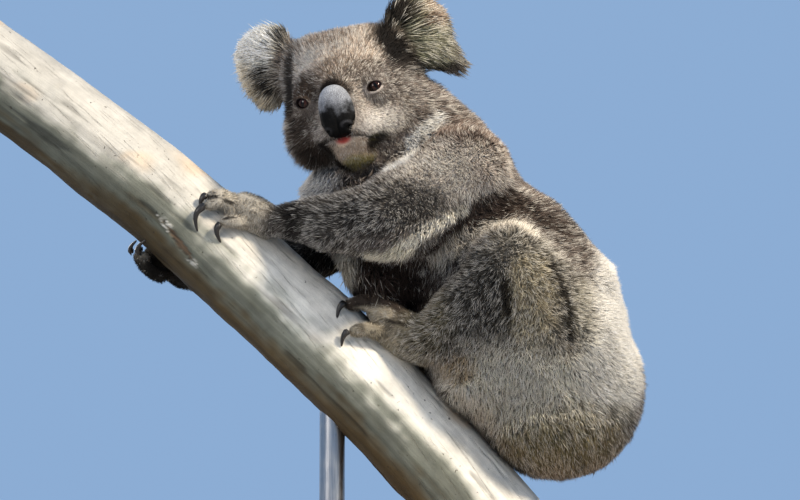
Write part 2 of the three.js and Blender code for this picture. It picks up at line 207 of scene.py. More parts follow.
def map_points(mesh: Mesh, layer: str, places: Array) -> None:
    """Adds a map to a mesh, from one place on it for each of the mesh's points."""
    corners = gathered(mesh.loops, "vertex_index", 1, np.int32)[:, 0]
    mesh.uv_layers.new(name=layer).data.foreach_set("uv", places[corners].ravel())


def paint_points(mesh: Mesh, colours: Array) -> None:
    """Stores one linear colour for each point of a mesh."""
    layer = mesh.color_attributes.new(TONE_LAYER, "FLOAT_COLOR", "POINT")
    layer.data.foreach_set("color", np.column_stack([colours, np.ones(len(colours))]).ravel())


def dress(piece: Object, material: Material) -> None:
    """Gives a piece one material in place of those it has."""
    piece.data.materials.clear()
    piece.data.materials.append(material)


def applied(piece: Object) -> None:
    """Puts the result of a piece's modifiers in place of its mesh."""
    graph = bpy.context.evaluated_depsgraph_get()
    graph.update()
    mesh = bpy.data.meshes.new_from_object(piece.evaluated_get(graph))
    piece.modifiers.clear()
    piece.data = mesh


def remeshed(piece: Object, voxel: float) -> None:
    """Melts what a piece holds into one closed mesh of even squares."""
    modifier = piece.modifiers.new("melt", "REMESH")
    modifier.mode = "VOXEL"
    modifier.voxel_size = voxel * MM
    applied(piece)


def edges_of(mesh: Mesh) -> Array:
    """Returns a mesh's edges as pairs of point indices."""
    return gathered(mesh.edges, "vertices", 2, np.int32)


def relaxed(values: Array, edges: Array, rounds: int, amount: float | Array = 0.5) -> Array:
    """Evens values out over a mesh.

    Args:
        values: One row for each point.
        edges: Pairs of point indices.
        rounds: How many times each point moves.
        amount: The share of the way to the neighbours' mean, for all points or for each.

    Returns:
        The evened values.
    """
    count = len(values)
    a, b = edges.T
    degree = np.bincount(a, minlength=count) + np.bincount(b, minlength=count)
    out = values.astype(float).copy()
    share = amount[:, None] if isinstance(amount, np.ndarray) else amount
    for _ in range(rounds):
        total = [np.bincount(a, c[b], count) + np.bincount(b, c[a], count) for c in out.T]
        out += share * (np.stack(total, axis=1) / np.maximum(degree, 1)[:, None] - out)
    return out


def point_normals(points: Array, triangles: Array) -> Array:
    """Returns the outward direction at each point."""
    p, q, r = (points[triangles[:, k]] for k in range(3))
    flat = np.cross(q - p, r - p)
    total = np.zeros_like(points)
    for corner in triangles.T:
        for axis in range(3):
            total[:, axis] += np.bincount(corner, weights=flat[:, axis], minlength=len(points))
    return unit(total)


def ring_faces(rings: int, around: int) -> Array:
    """Returns the squares of a tube of rings, each closed on itself."""
    i, j = np.meshgrid(np.arange(rings - 1), np.arange(around), indexing="ij")
    a = (i * around + j).ravel()
    b = (i * around + (j + 1) % around).ravel()
    return np.stack([a, b, b + around, a + around], axis=1)


def globe(rings: int, around: int, pole: float) -> tuple[Array, Array, Array]:
    """Returns a unit ball's grid of points, ring by ring from one pole to the other.

    Args:
        rings: How many rings it has.
        around: How many points each ring has.
        pole: The angle in radians that is left open at each pole.

    Returns:
        The two coordinates across its axis, and the angle from the first pole.
    """
    angles = np.linspace(pole, math.pi - pole, rings)
    polar, turn = np.meshgrid(angles, np.arange(around) / around * 2 * math.pi, indexing="ij")
    return np.cos(turn) * np.sin(polar), np.sin(turn) * np.sin(polar), polar


# ---------------------------------------------------------------- places on the animal
def turned(axis: str, degrees: float) -> Array:
    """Returns the matrix that turns round one axis."""
    c, s = math.cos(math.radians(degrees)), math.sin(math.radians(degrees))
    return {
        "x": np.array([[1, 0, 0], [0, c, -s], [0, s, c]]),
        "y": np.array([[c, 0, s], [0, 1, 0], [-s, 0, c]]),
        "z": np.array([[c, -s, 0], [s, c, 0], [0, 0, 1]]),
    }[axis]


@dataclass(frozen=True)
class HeadAxes:
    """The head's own axes: x to its left, -y forward and z up."""

    at: tuple = (-46, -35, 522)
    yaw: float = -11
    pitch: float = 7
    roll: float = -11.5
    muzzle_swing: float = -3.4

    def turn(self) -> Array:
        """Returns the head's turn as a matrix."""
        return turned("y", self.roll) @ turned("z", self.yaw) @ turned("x", self.pitch)

    def _swung(self, local: Array, way: int) -> Array:
        """Returns places with the muzzle swung to one side, or back with way -1."""
        return local + way * self.muzzle_swing * np.outer(fade(-local[:, 1], 46, 66), (1, 0, 0))

    def out(self, local: Array) -> Array:
        """Returns places given in the head's axes as places in the frame."""
        return self._swung(np.atleast_2d(np.asarray(local, float)), 1) @ self.turn().T + np.array(self.at)

    def into(self, points: Array) -> Array:
        """Returns places in the frame as places in the head's axes."""
        return self._swung((points - np.array(self.at)) @ self.turn(), -1)


HEAD = HeadAxes()


class PerchLine:
    """The branch's axis, and places on its bark counted along it and round it."""

    knots = (
        (-432, 0, 587), (-323, 0, 508.5), (-233.5, 0, 439.4), (-142.7, 0, 359.1),
        (-47.4, 0, 270.5), (34.9, 0, 185.4), (96, 0, 117),
    )  # fmt: skip
    radius_high = 43.5
    radius_low = 47.5
    steps = 240

    def __init__(self) -> None:
        """Works the axis out once, with its length so far and its direction."""
        knots = np.array(self.knots, float)
        line = [self._span(knots, i, t) for i in range(len(knots) - 1) for t in np.linspace(0, 1, 41)[:-1]]
        line = np.array(line + [knots[-1]])
        run = np.concatenate([[0], np.cumsum(np.linalg.norm(np.diff(line, axis=0), axis=1))])
        self.length = float(run[-1])
        self.run = np.linspace(0, self.length, self.steps)
        self.points = np.stack([np.interp(self.run, run, line[:, k]) for k in range(3)], axis=1)
        self.tangents = unit(np.gradient(self.points, axis=0))

    @staticmethod
    def _span(knots: Array, i: int, t: float) -> Array:
        """Returns a point of the centripetal spline between knots i and i + 1."""
        before = knots[i - 1] if i else 2 * knots[0] - knots[1]
        after = knots[i + 2] if i + 2 < len(knots) else 2 * knots[-1] - knots[-2]
        p = [before, knots[i], knots[i + 1], after]
        d = [np.linalg.norm(p[k + 1] - p[k]) ** 0.5 for k in range(3)]
        out = (p[1] - p[0]) / d[0] - (p[2] - p[0]) / (d[0] + d[1]) + (p[2] - p[1]) / d[1]
        back = (p[2] - p[1]) / d[1] - (p[3] - p[1]) / (d[1] + d[2]) + (p[3] - p[2]) / d[2]
        a, b = out * d[1], back * d[1]
        c2 = -3 * p[1] + 3 * p[2] - 2 * a - b
        c3 = 2 * p[1] - 2 * p[2] + a + b
        return p[1] + a * t + c2 * t * t + c3 * t**3

    def radius(self, run: Array) -> Array:
        """Returns the branch's radius at a length along it."""
        share = np.minimum(1, 1.5 * run / self.length)
        return self.radius_high + (self.radius_low - self.radius_high) * share

    def at(self, run: Array) -> tuple[Array, Array]:
        """Returns the axis's points and directions at lengths along it."""
        point = np.stack([np.interp(run, self.run, self.points[:, k]) for k in range(3)], axis=-1)
        tangent = np.stack([np.interp(run, self.run, self.tangents[:, k]) for k in range(3)], axis=-1)
        return point, unit(tangent)

    def place(self, run: Array, angle: Array, height: Array) -> Array:
        """Returns places on the bark.

        Args:
            run: Length along the axis from the high end.
            angle: Degrees round from the upper side, towards the viewer's side.
            height: Height above the bark.

        Returns:
            One place to a row.
        """
        run, angle, height = np.broadcast_arrays(np.asarray(run, float), angle, height)
        point, tangent = self.at(run)
        upper = np.stack([-tangent[..., 2], np.zeros_like(run), tangent[..., 0]], axis=-1)
        near = np.array([0.0, -1.0, 0.0])
        out = (self.radius(run) + height)[..., None]
        turn = np.radians(angle)[..., None]
        return point + out * (upper * np.cos(turn) + near * np.sin(turn))

    def nearest(self, points: Array) -> tuple[Array, Array]:
        """Returns each point's length along the axis, and its arm out from the axis."""
        run = np.interp(points[:, 0], self.points[:, 0], self.run)
        for _ in range(3):
            point, tangent = self.at(run)
            run = np.clip(run + np.einsum("ij,ij->i", points - point, tangent), 0, self.length)
        point, _ = self.at(run)
        return run, points - point


PERCH = PerchLine()


class Part(Enum):
    """A part of the body that has a coat of its own."""

    HEAD = "head"
    NECK = "neck"
    TRUNK = "trunk"
    UPPER_ARM = "upper_arm"
    FOREARM = "forearm"
    HAND = "hand"
    THIGH = "thigh"
    SHANK = "shank"
    FOOT = "foot"
    EAR = "ear"


PARTS = list(Part)


def part_of(node: str) -> Part | None:
    """Returns the part that a node of flesh is, or None for any other node."""
    return next((p for p in PARTS if node == p.value or node in (p.value + "_l", p.value + "_r")), None)


def share_of(weights: Array, *parts: Part) -> Array:
    """Returns how much each place belongs to some parts together."""
    return weights[:, [PARTS.index(p) for p in parts]].sum(axis=1)


@dataclass(frozen=True)
class CoatStyle:
    """How the coat of one part grows.

    depth is from the skin to the tips, rise the lean of a tuft off the skin in degrees,
    longest a tuft's full length, width its half width at the root, spacing from one root
    to the next, spread the scatter of its lie in degrees and clump how closely tips gather.
    """

    depth: float
    rise: float
    longest: float
    width: float
    spacing: float
    spread: float
    clump: float


STYLES = {
    Part.HEAD: CoatStyle(6.0, 44, 9, 0.38, 1.04, 20, 0.26),
    Part.NECK: CoatStyle(9.0, 42, 18, 0.46, 1.28, 22, 0.36),
    Part.TRUNK: CoatStyle(9.5, 54, 16, 0.47, 1.26, 34, 0.4),
    Part.UPPER_ARM: CoatStyle(8.0, 56, 13, 0.43, 1.14, 34, 0.36),
    Part.FOREARM: CoatStyle(6.5, 50, 11, 0.42, 1.12, 28, 0.36),
    Part.HAND: CoatStyle(2.4, 32, 7.0, 0.34, 1.06, 14, 0.35),
    Part.THIGH: CoatStyle(9.0, 60, 14, 0.45, 1.16, 38, 0.4),
    Part.SHANK: CoatStyle(7.0, 50, 12, 0.43, 1.16, 30, 0.38),
    Part.FOOT: CoatStyle(2.4, 32, 7.0, 0.34, 1.06, 14, 0.35),
    Part.EAR: CoatStyle(10.5, 26, 30, 0.46, 1.16, 16, 0.5),
}
FACE = CoatStyle(3.2, 40, 5.5, 0.34, 0.98, 14, 0.2)


def styled(weights: Array, name: str) -> Array:
    """Returns one of the styles' sizes at each place, by its shares of the parts."""
    return weights @ np.array([getattr(STYLES[p], name) for p in PARTS])


# ---------------------------------------------------------------- markings
@dataclass(frozen=True)
class Mark:
    """A soft-edged marking of the coat: a patch about one place, or a band along several.

    A patch's size is its three radii, a band's is its half width. pale and dark are the
    shares of tufts with pale and with dark tips. A mark is on both sides of the animal
    with both, and otherwise only where its line is.
    """

    line: tuple
    size: tuple
    colour: str
    strength: float = 1.0
    pale: float = 0.3
    dark: float = 0.3
    edge: float = 0.35
    both: bool = True

    def far(self, places: Array) -> Array:
        """Returns how far places are from the mark's middle, 1 at its border."""
        if len(self.line) == 1:
            return bounded(places, self.line[0], self.size)
        best = np.full(len(places), np.inf)
        for a, b in zip(self.line, self.line[1:]):
            a, b = np.array(a, float), np.array(b, float)
            t = np.clip((places - a) @ (b - a) / ((b - a) @ (b - a)), 0, 1)
            best = np.minimum(best, np.linalg.norm(places - a - t[:, None] * (b - a), axis=1))
        return best / self.size[0]


def patch(at: tuple, radii: tuple, colour: str, strength: float, *tips: float, **more: object) -> Mark:
    """Returns a patch of the coat; tips are the shares of pale and of dark tips."""
    return Mark((at,), radii, colour, strength, *tips, **more)


def band(line: tuple, half_width: float, colour: str, strength: float, *tips: float, **more: object) -> Mark:
    """Returns a band of the coat; tips are the shares of pale and of dark tips."""
    return Mark(line, (half_width,), colour, strength, *tips, **more)



@dataclass(frozen=True)
class Markings:
    """The colours of the coat, the same for the skin and for the tufts on it.

    The body's marks are in the frame's axes, and the head's and the ears' in the head's. Some marks are
    painted shade or painted light, as the comments beside them say.
    """

    bases: tuple = (
        (Part.HEAD, "#91867c"), (Part.NECK, "#897d75"), (Part.TRUNK, "#786e67"),
        (Part.UPPER_ARM, "#7a726b"), (Part.FOREARM, "#6a655f"), (Part.HAND, "#cdc4b3"),
        (Part.THIGH, "#888379"), (Part.SHANK, "#a79e89"), (Part.FOOT, "#bdb39c"),
        (Part.EAR, "#a39d89"),
    )  # fmt: skip
    pale: float = 0.3
    dark: float = 0.3
    body: tuple = (
        patch((100, 0, 445), (95, 60, 60), "#776c65", 0.9, 0.15, 0.3),
        patch((70, -70, 490), (46, 60, 30), "#82736a", 0.9, 0.2, 0.25),
        patch((50, -104, 441), (56, 46, 34), "#f0e6da", 0.97, 0.65, 0.15, edge=0.5),
        patch((96, -84, 446), (34, 40, 22), "#c0b3a8", 0.8, 0.5, 0.15, edge=0.5),
        patch((-12, -120, 412), (62, 40, 28), "#65615d", 0.9, 0.38, 0.42),
        patch((-60, -90, 402), (34, 50, 22), "#5a5753", 0.8, 0.3, 0.45),
        # Painted shade: the belly over the branch, almost black where it lies in deep shade.
        patch((-23, -37, 345), (52, 70, 42), "#352924", 0.95, 0.05, 0.5),
        # Painted shade in the gap between the arm and the thigh.
        band(((-14, -50, 343), (14, -85, 356), (40, -88, 374), (60, -86, 396), (80, -84, 413),
              (108, -72, 421)), 11, "#40332e", 0.9, 0.1, 0.5),
        # Painted shade in a fold of the back.
        band(((112, -67, 423), (138, -63, 411), (158, -50, 402)), 12, "#51463f", 0.85, 0.13, 0.45),
        patch((64, -110, 330), (38, 46, 44), "#605d57", 0.9, 0.4, 0.45),
        # A pale band over the thigh's upper rim: pale fur, partly painted rim light.
        band(((28, -68, 356), (56, -88, 380), (83, -90, 397), (109, -90, 402), (124, -104, 388)),
             7.5, "#bdb5a6", 0.85, 0.65, 0.05),
        patch((120, -122, 323), (26, 44, 46), "#d2c6a9", 0.95, 0.4, 0.3, edge=0.25),
        band(((96, -120, 340), (97, -105, 278)), 5, "#26221f", 0.9, 0.0, 0.6),
        band(((142, -111, 358), (152, -108, 340), (158, -108, 318), (156, -106, 290)),
             4.5, "#2c2824", 0.9, 0.05, 0.6),
        patch((178, -95, 305), (18, 44, 52), "#aba695", 0.8, 0.45, 0.2),
        patch((210, -50, 322), (30, 84, 74), "#f7f4ee", 0.97, 0.85, 0.0),
        patch((106, -90, 240), (90, 66, 43), "#fbf3dc", 0.97, 0.8, 0.08, edge=0.4),
        patch((200, -74, 262), (40, 66, 42), "#faf6ec", 0.97, 0.8, 0.03),
        # The rump's underside: partly stained fur, partly painted shade.
        patch((150, -70, 194), (66, 72, 30), "#857b5a", 0.9, 0.35, 0.25, edge=0.7),
        patch((206, -66, 222), (16, 50, 12), "#8c8674", 0.7, 0.3, 0.3),
        patch((52, -77, 262), (18, 40, 14), "#ac926c", 0.7, 0.3, 0.2),
        patch((160, 0, 414), (40, 34, 22), "#484647", 0.8, 0.25, 0.45),
        patch((24, -70, 305), (26, 40, 30), "#857d67", 0.8, 0.4, 0.3),
        band(((-112, -52, 366), (-85, -66, 363), (-60, -82, 360), (-30, -98, 359), (-8, -108, 364),
              (8, -116, 372)), 10, "#d8d0b6", 0.94, 0.65, 0.05),
        band(((8, -118, 375), (25, -118, 387), (44, -106, 397), (62, -96, 407)),
             7, "#dcd6c6", 0.92, 0.75, 0.0),
        band(((-106, -50, 424), (-104, -80, 400), (-108, -50, 378)), 11, "#2d2a28", 0.9, 0.1, 0.5),
        # Painted shade: the pale chest fur under the head is given in grey where it lies in shade.
        patch((-84, 0, 445), (38, 60, 34), "#b4b6b8", 0.95, 0.8, 0.0),
        patch((-54, -20, 358), (15, 40, 22), "#b5ae9f", 0.9, 0.5, 0.1),
        # Painted shade: the far hand, partly its dark palm, and the far forearm, dark where they lie in deep
        # shade behind the branch and the near arm.
        patch((-232, 14, 356), (44, 50, 36), "#191613", 0.97, 0.02, 0.4, both=False),
        patch((-75, 80, 372), (46, 40, 34), "#2f2925", 0.9, 0.1, 0.4, both=False),
        band(((-14, -86, 452), (2, -88, 460), (14, -74, 476), (28, -66, 492), (40, -54, 505)),
             6.5, "#f2f4f3", 1.0, 0.85, 0.0),
        # Painted shade in the clefts between the near hand's digits.
        band(((-184, -49, 429), (-168, -54, 427), (-150, -60, 420)),
             3, "#17120f", 0.92, 0.0, 0.4, both=False),
        band(((-166, -57, 409), (-150, -60, 412), (-136, -60, 412)), 3, "#17120f", 0.9, 0.0, 0.4, both=False),
        patch((-24, -46, 318), (20, 18, 10), "#c4b9a2", 0.85, 0.4, 0.1, edge=0.25),
        # Painted shade in the cleft between the toes.
        band(((-30, -48, 314), (-12, -54, 312), (6, -58, 310)), 3, "#1d1713", 0.85, 0.0, 0.4),
    )
    head: tuple = (
        patch((0, -34, 50), (60, 54, 32), "#cfbdab", 0.92, 0.45, 0.2),
        patch((-32, -38, 44), (22, 30, 26), "#eddccb", 0.9, 0.6, 0.15, edge=0.6, both=False),
        patch((-6, -30, 66), (26, 40, 8), "#957f6c", 0.5, 0.25, 0.35, both=False),
        patch((8, -60, 30), (26, 24, 12), "#8d7d6f", 0.7, 0.25, 0.35),
        patch((29, -54, 24), (20, 20, 11), "#776d65", 0.8, 0.35, 0.3),
        patch((50, -30, 0), (28, 36, 34), "#7b716a", 0.8, 0.4, 0.3),
        patch((20, -60, -6), (11, 18, 18), "#bbb0a6", 0.8, 0.4, 0.05),
        patch((35, -55, -28), (23, 22, 14), "#efe8df", 0.92, 0.5, 0.25, edge=0.6, both=False),
        # Painted shade on the head's right side: the right cheek puff is a shaded copy of the white left one,
        # and the marks round the right eye and over the right cheek are partly dark fur, partly painted
        # shade.
        patch((-26, -58, -26), (14, 18, 12), "#a79d93", 0.8, 0.4, 0.1, edge=0.6, both=False),
        patch((-34, -52, 14), (17, 18, 17), "#453529", 0.85, 0.15, 0.35, both=False),
        patch((-52, -32, -4), (14, 26, 22), "#463b34", 0.85, 0.1, 0.4, both=False),
        patch((-38, -50, -12), (18, 22, 20), "#7a7068", 0.75, 0.2, 0.3, both=False),
        patch((-50, -40, -34), (22, 28, 26), "#5c5047", 0.85, 0.1, 0.45, both=False),
        patch((36, -44, 4), (7, 10, 7), "#cfc5ba", 0.7, 0.4, 0.0, both=False),
        patch((4, -62, -50), (22, 26, 16), "#cdb8a3", 0.95, 0.3, 0.05, both=False),
        patch((6, -50, -66), (20, 26, 13), "#b0a361", 0.9, 0.3, 0.05, both=False),
        # Painted shadow: near-black bands in the furrows on both sides of the lower jaw.
        band(((27, -54, -46), (34, -44, -54), (42, -34, -60)), 11, "#17100c", 0.98, 0.0, 0.4, both=False),
        band(((-20, -58, -40), (-24, -50, -54), (-14, -46, -72)), 11, "#17100c", 0.98, 0.0, 0.4, both=False),
        # Painted shade on the right side of the jaw.
        patch((-38, -44, -50), (20, 26, 16), "#43372e", 0.9, 0.05, 0.4, both=False),
        band(((15, -64, -35), (22, -62, -38), (31, -58, -44)), 4.5, "#3f3b29", 0.92, 0.05, 0.3, both=False),
        # Painted shade where the ears meet the head.
        band(((-46, -20, 70), (-52, -30, 46), (-52, -30, 22), (-56, -20, 6)),
             10, "#24211f", 0.9, 0.06, 0.4, both=False),
        band(((55, -18, 76), (60, -18, 42), (84, -2, 12)), 21, "#090808", 0.98, 0.0, 0.4, both=False),
    )
    ear: tuple = (
        patch((-78, -8, 62), (38, 36, 34), "#fffcf2", 1.0, 0.95, 0.0, both=False),
        # Painted shade: the dark marks in the hollow and along the front edge of the right ear.
        patch((-85, -6, 38), (14, 32, 20), "#14110e", 0.97, 0.04, 0.5, both=False),
        patch((-70, -6, 28), (12, 30, 14), "#1c1814", 0.95, 0.06, 0.45, both=False),
        band(((-46, -15, 78), (-52, -24, 40), (-60, -16, 12)), 15, "#131110", 0.95, 0.03, 0.4, both=False),
        band(((-104, 5, 54), (-98, 5, 24), (-79, 5, 8)), 9, "#cdbfa6", 0.85, 0.6, 0.05, both=False),
        # Painted shade: the near-black hollow of the left ear and its dark base.
        patch((60, -20, 56), (31, 40, 48), "#070707", 0.98, 0.0, 0.4, edge=0.25, both=False),
        band(((60, -18, 34), (78, 0, 14), (104, 18, 0)), 14, "#12100f", 0.96, 0.02, 0.4, both=False),
        patch((90, 0, 44), (22, 30, 32), "#85856f", 0.9, 0.45, 0.4, both=False),
        patch((76, -8, 72), (12, 20, 11), "#24211d", 0.85, 0.1, 0.4, both=False),
        patch((94, 2, 60), (9, 20, 7), "#38342e", 0.8, 0.15, 0.4, both=False),
        patch((66, -6, 92), (24, 30, 12), "#3a3430", 0.8, 0.1, 0.4, both=False),
        patch((104, 8, 74), (14, 30, 24), "#8b7564", 0.8, 0.4, 0.1, both=False),
    )
    ear_back: str = "#7d746b"
    # The dark edge over the nose pad's top: partly dark short hair, partly painted shade.
    nose_rim: str = "#1d1612"
    rim_oval: tuple = (18, 27)

    def colours(self, points: Array, weights: Array) -> tuple[Array, Array, Array]:
        """The coat's colour at places on the skin.

        Args:
            points: Places in millimetres.
            weights: For each place, its share of each part.

        Returns:
            The linear colour, the share of pale tips and the share of dark ones.
        """
        bases = dict(self.bases)
        colour = weights @ np.stack([tone(bases[p]) for p in PARTS])
        pale = np.full(len(points), self.pale)
        dark = np.full(len(points), self.dark)
        local = HEAD.into(points)
        ragged = 0.1 * noise(points, 9, 3) + 0.08 * noise(points, 3.5, 4)
        head = share_of(weights, Part.HEAD)
        ear = fade(share_of(weights, Part.EAR), 0.3, 0.7)
        body = 1 - np.clip(head + ear, 0, 1)
        on_body, on_head = (points, near_half(points)), (local, left_half(local))
        for marks, share, places in (
            (self.body, body, on_body), (self.head, head, on_head), (self.ear, ear, on_head),
        ):  # fmt: skip
            for mark in marks:
                far = mark.far(places[mark.both]) + ragged
                where = (1 - fade(far, 1 - mark.edge, 1 + mark.edge)) * share
                tint(colour, where * mark.strength, mark.colour)
                pale += where * (mark.pale - pale)
                dark += where * (mark.dark - dark)
        tint(colour, fade(local[:, 1], 14, 26) * ear * 0.7, self.ear_back)
        rim = self._nose_rim(local) * head
        tint(colour, rim, self.nose_rim)
        return colour, pale * (1 - rim), dark

    @staticmethod
    def eyes_clear(points: Array) -> Array:
        """Returns 0 near the eyes and 1 elsewhere."""
        return fade(np.linalg.norm(left_half(HEAD.into(points)) - EYE, axis=1), 12, 18)

    def _nose_rim(self, local: Array) -> Array:
        """Returns the dark edge of short hair over the top of the nose pad, partly painted shade."""
        front = fade(-local[:, 1], 44, 52)
        return front * (1 - fade(pad_distance(local, self.rim_oval), 1.12, 1.3)) * fade(local[:, 2], -2, 9)


MARKINGS = Markings()


# ---------------------------------------------------------------- materials
class Shader:
    """A node material while it is being put together."""

    def __init__(self, name: str) -> None:
        """Starts a material with a principled shader."""
        self.material = bpy.data.materials.new(name)
        self.material.use_nodes = True
        self.tree = self.material.node_tree
        self.tree.nodes.clear()
        out = self.tree.nodes.new("ShaderNodeOutputMaterial")
        self.surface = self.tree.nodes.new("ShaderNodeBsdfPrincipled")
        self.tree.links.new(self.surface.outputs[0], out.inputs[0])
        self.where = self.tree.nodes.new("ShaderNodeTexCoord").outputs["Object"]

    def put(self, node: Node, key: str | int, value: object) -> None:
        """Sets a node's input, or links it if the value is another node's output."""
        if isinstance(value, NodeSocket):
            self.tree.links.new(value, node.inputs[key])
        elif value is not None:
            node.inputs[key].default_value = value

    def set(self, **values: object) -> None:
        """Sets inputs of the principled shader, by name with _ for a space."""
        for key, value in values.items():
            self.put(self.surface, key.replace("_", " "), value)

    def node(self, kind: str, *values: object, **named: object) -> Node:
        """Returns a new node with its first inputs set in order, and others by name."""
        made = self.tree.nodes.new("ShaderNode" + kind)
        for key, value in (*enumerate(values), *named.items()):
            self.put(made, key, value)
        return made

    def noise(self, scale: float, detail: float = 4, rough: float = 0.55, where: object = None) -> object:
        """Returns fractal noise with about scale lumps to a metre."""
        made = self.node("TexNoise", where or self.where, Scale=scale, Detail=detail, Roughness=rough)
        return made.outputs["Fac"]

    def cells(self, scale: float) -> object:
        """Returns the distance in a pattern of cells."""
        return self.node("TexVoronoi", self.where, Scale=scale).outputs["Distance"]

    def stretched(self, scale: tuple, turn: tuple = (0, 0, 0), where: object = None) -> object:
        """Returns coordinates turned and then scaled."""
        spin = self.node("Mapping", where or self.where, Rotation=[math.radians(a) for a in turn])
        return self.node("Mapping", spin.outputs[0], Scale=scale).outputs[0]

    def ramp(self, value: object, *stops: tuple) -> object:
        """Returns a colour read from stops, each a place from 0 to 1 and a hex code."""
        node = self.node("ValToRGB", value)
        points = node.color_ramp.elements
        while len(points) < len(stops):
            points.new(0.5)
        for point, (place, code) in zip(points, stops):
            point.position = place
            point.color = (*tone(code), 1)
        return node.outputs[0]

    def span(self, value: object, low: float, high: float, first: float = 0, last: float = 1) -> object:
        """Returns a value carried from one range to another and kept within it."""
        return self.node("MapRange", value, low, high, first, last).outputs[0]

    def mix(self, share: object, a: object, b: object, blend: str = "MIX") -> object:
        """Returns two colours mixed; a colour may be a hex code."""
        node = self.node("Mix", share)
        node.data_type = "RGBA"
        node.blend_type = blend
        for key, value in ((6, a), (7, b)):
            self.put(node, key, (*tone(value), 1) if isinstance(value, str) else value)
        return node.outputs[2]

    def math(self, operation: str, a: object, b: object = None) -> object:
        """Returns the result of one operation on numbers."""
        node = self.node("Math", a, b)
        node.operation = operation
        return node.outputs[0]

    def apart(self, x: object, y: object) -> object:
        """Returns the distance from 0 of two coordinates."""
        return self.math("SQRT", self.math("ADD", self.math("POWER", x, 2.0), self.math("POWER", y, 2.0)))

    def painted(self) -> object:
        """Returns the colour stored on the mesh."""
        node = self.node("Attribute")
        node.attribute_name = TONE_LAYER
        return node.outputs["Color"]

    def mapped(self, layer: str) -> object:
        """Returns a UV map's coordinates."""
        node = self.node("UVMap")
        node.uv_map = layer
        return node.outputs[0]

    def axis(self, where: object, axis: int) -> object:
        """Returns one coordinate of a place."""
        return self.node("SeparateXYZ", where).outputs[axis]

    def bump(self, *layers: tuple) -> None:
        """Adds relief, each layer a height from 0 to 1 and how many millimetres that is."""
        last = None
        for height, depth in layers:
            last = self.node("Bump", Height=height, Distance=depth * MM, Normal=last).outputs[0]
        self.put(self.surface, "Normal", last)


@dataclass(frozen=True)
class FurFinish:
    """Dry wool-like hair: the markings, with fine streaks and a faint sheen."""

    rough: float = 0.72
    sheen: float = 0.02
    streak: float = 1400
    fleck: float = 420

    def material(self) -> Material:
        """Returns the material of the tufts."""
        s = Shader("coat_fur")
        streaks = s.noise(self.streak, 2)
        flecks = s.noise(self.fleck, 2)
        shade = s.math("MULTIPLY", s.span(streaks, 0.3, 0.7, 0.8, 1.2), s.span(flecks, 0.3, 0.7, 0.86, 1.14))
        s.set(
            Base_Color=s.mix(1.0, s.painted(), shade, "MULTIPLY"),
            Roughness=s.span(flecks, 0.3, 0.7, self.rough, 0.9),
        )
        s.set(Sheen_Weight=self.sheen, Specular_IOR_Level=0.06)
        return s.material


@dataclass(frozen=True)
class SkinFinish:
    """Skin under flat short hair: the markings, with the hair's grain as relief."""

    rough: float = 0.8
    grain: float = 900

    def material(self) -> Material:
        """Returns the material of the skin."""
        s = Shader("skin_and_down")
        grain = s.noise(self.grain, 4, 0.65)
        lumps = s.noise(160, 3)
        shade = s.span(grain, 0.3, 0.7, 0.72, 1.1)
        s.set(
            Base_Color=s.mix(1.0, s.painted(), shade, "MULTIPLY"),
            Roughness=s.span(lumps, 0.3, 0.7, self.rough, 0.95),
        )
        s.set(Specular_IOR_Level=0.2)
        s.bump((grain, 0.7), (lumps, 0.6))
        return s.material


@dataclass(frozen=True)
class NoseFinish:
    """The nose pad's leather: fine pebbles, black below, and painted grey above as a reflection of light, a
    little lighter to one side as a painted highlight.
    """

    pebble: float = 1150
    nostrils: tuple = ((0.13, 0.14), (0.75, 0.2))
    nostril_size: tuple = (0.12, 0.06)
    # Painted reflection: black below, and grey above where the upper half stands for light reflected on the
    # leather.
    tones: tuple = (
        (0.0, "#050505"), (0.38, "#080808"), (0.47, "#19191a"),
        (0.56, "#595b5f"), (0.68, "#92959b"), (1.0, "#b4b7bb"),
    )  # fmt: skip

    def material(self) -> Material:
        """Returns the material of the nose pad."""
        s = Shader("nose_leather")
        height = s.axis(s.mapped("pad"), 1)
        patchy = s.noise(95, 5)
        across = s.axis(s.mapped("pad"), 0)
        # Painted highlight: the grey is made lighter towards one side of the pad.
        height_with_highlight = s.math("ADD", height, s.span(across, 0.1, 0.9, -0.03, 0.03))
        grey = s.ramp(s.math("ADD", height_with_highlight, s.span(patchy, 0.3, 0.7, -0.13, 0.13)), *self.tones)
        for at_across, at_height in self.nostrils:
            x = s.math("DIVIDE", s.math("SUBTRACT", across, at_across), self.nostril_size[0])
            y = s.math("DIVIDE", s.math("SUBTRACT", height, at_height), self.nostril_size[1])
            far = s.apart(x, y)
            # Painted highlight: a grey rim round each nostril, brightest on its upper side.
            nostril_rim_highlight = s.math("MULTIPLY", s.span(far, 0.6, 1.1), s.span(far, 1.9, 1.2))
            grey = s.mix(s.math("MULTIPLY", nostril_rim_highlight, s.span(y, -0.6, 1.2, 0.0, 0.6)), grey, "#4c4c4f")
        pebbles = s.cells(self.pebble)
        s.set(
            Base_Color=s.mix(s.span(pebbles, 0.2, 0.6), grey, s.mix(0.5, grey, "#0b0b0b")),
            Roughness=s.span(height, 0.4, 0.65, 0.62, 0.34),
        )
        s.set(Specular_IOR_Level=0.06)
        s.bump((pebbles, -0.35), (patchy, 0.8))
        return s.material


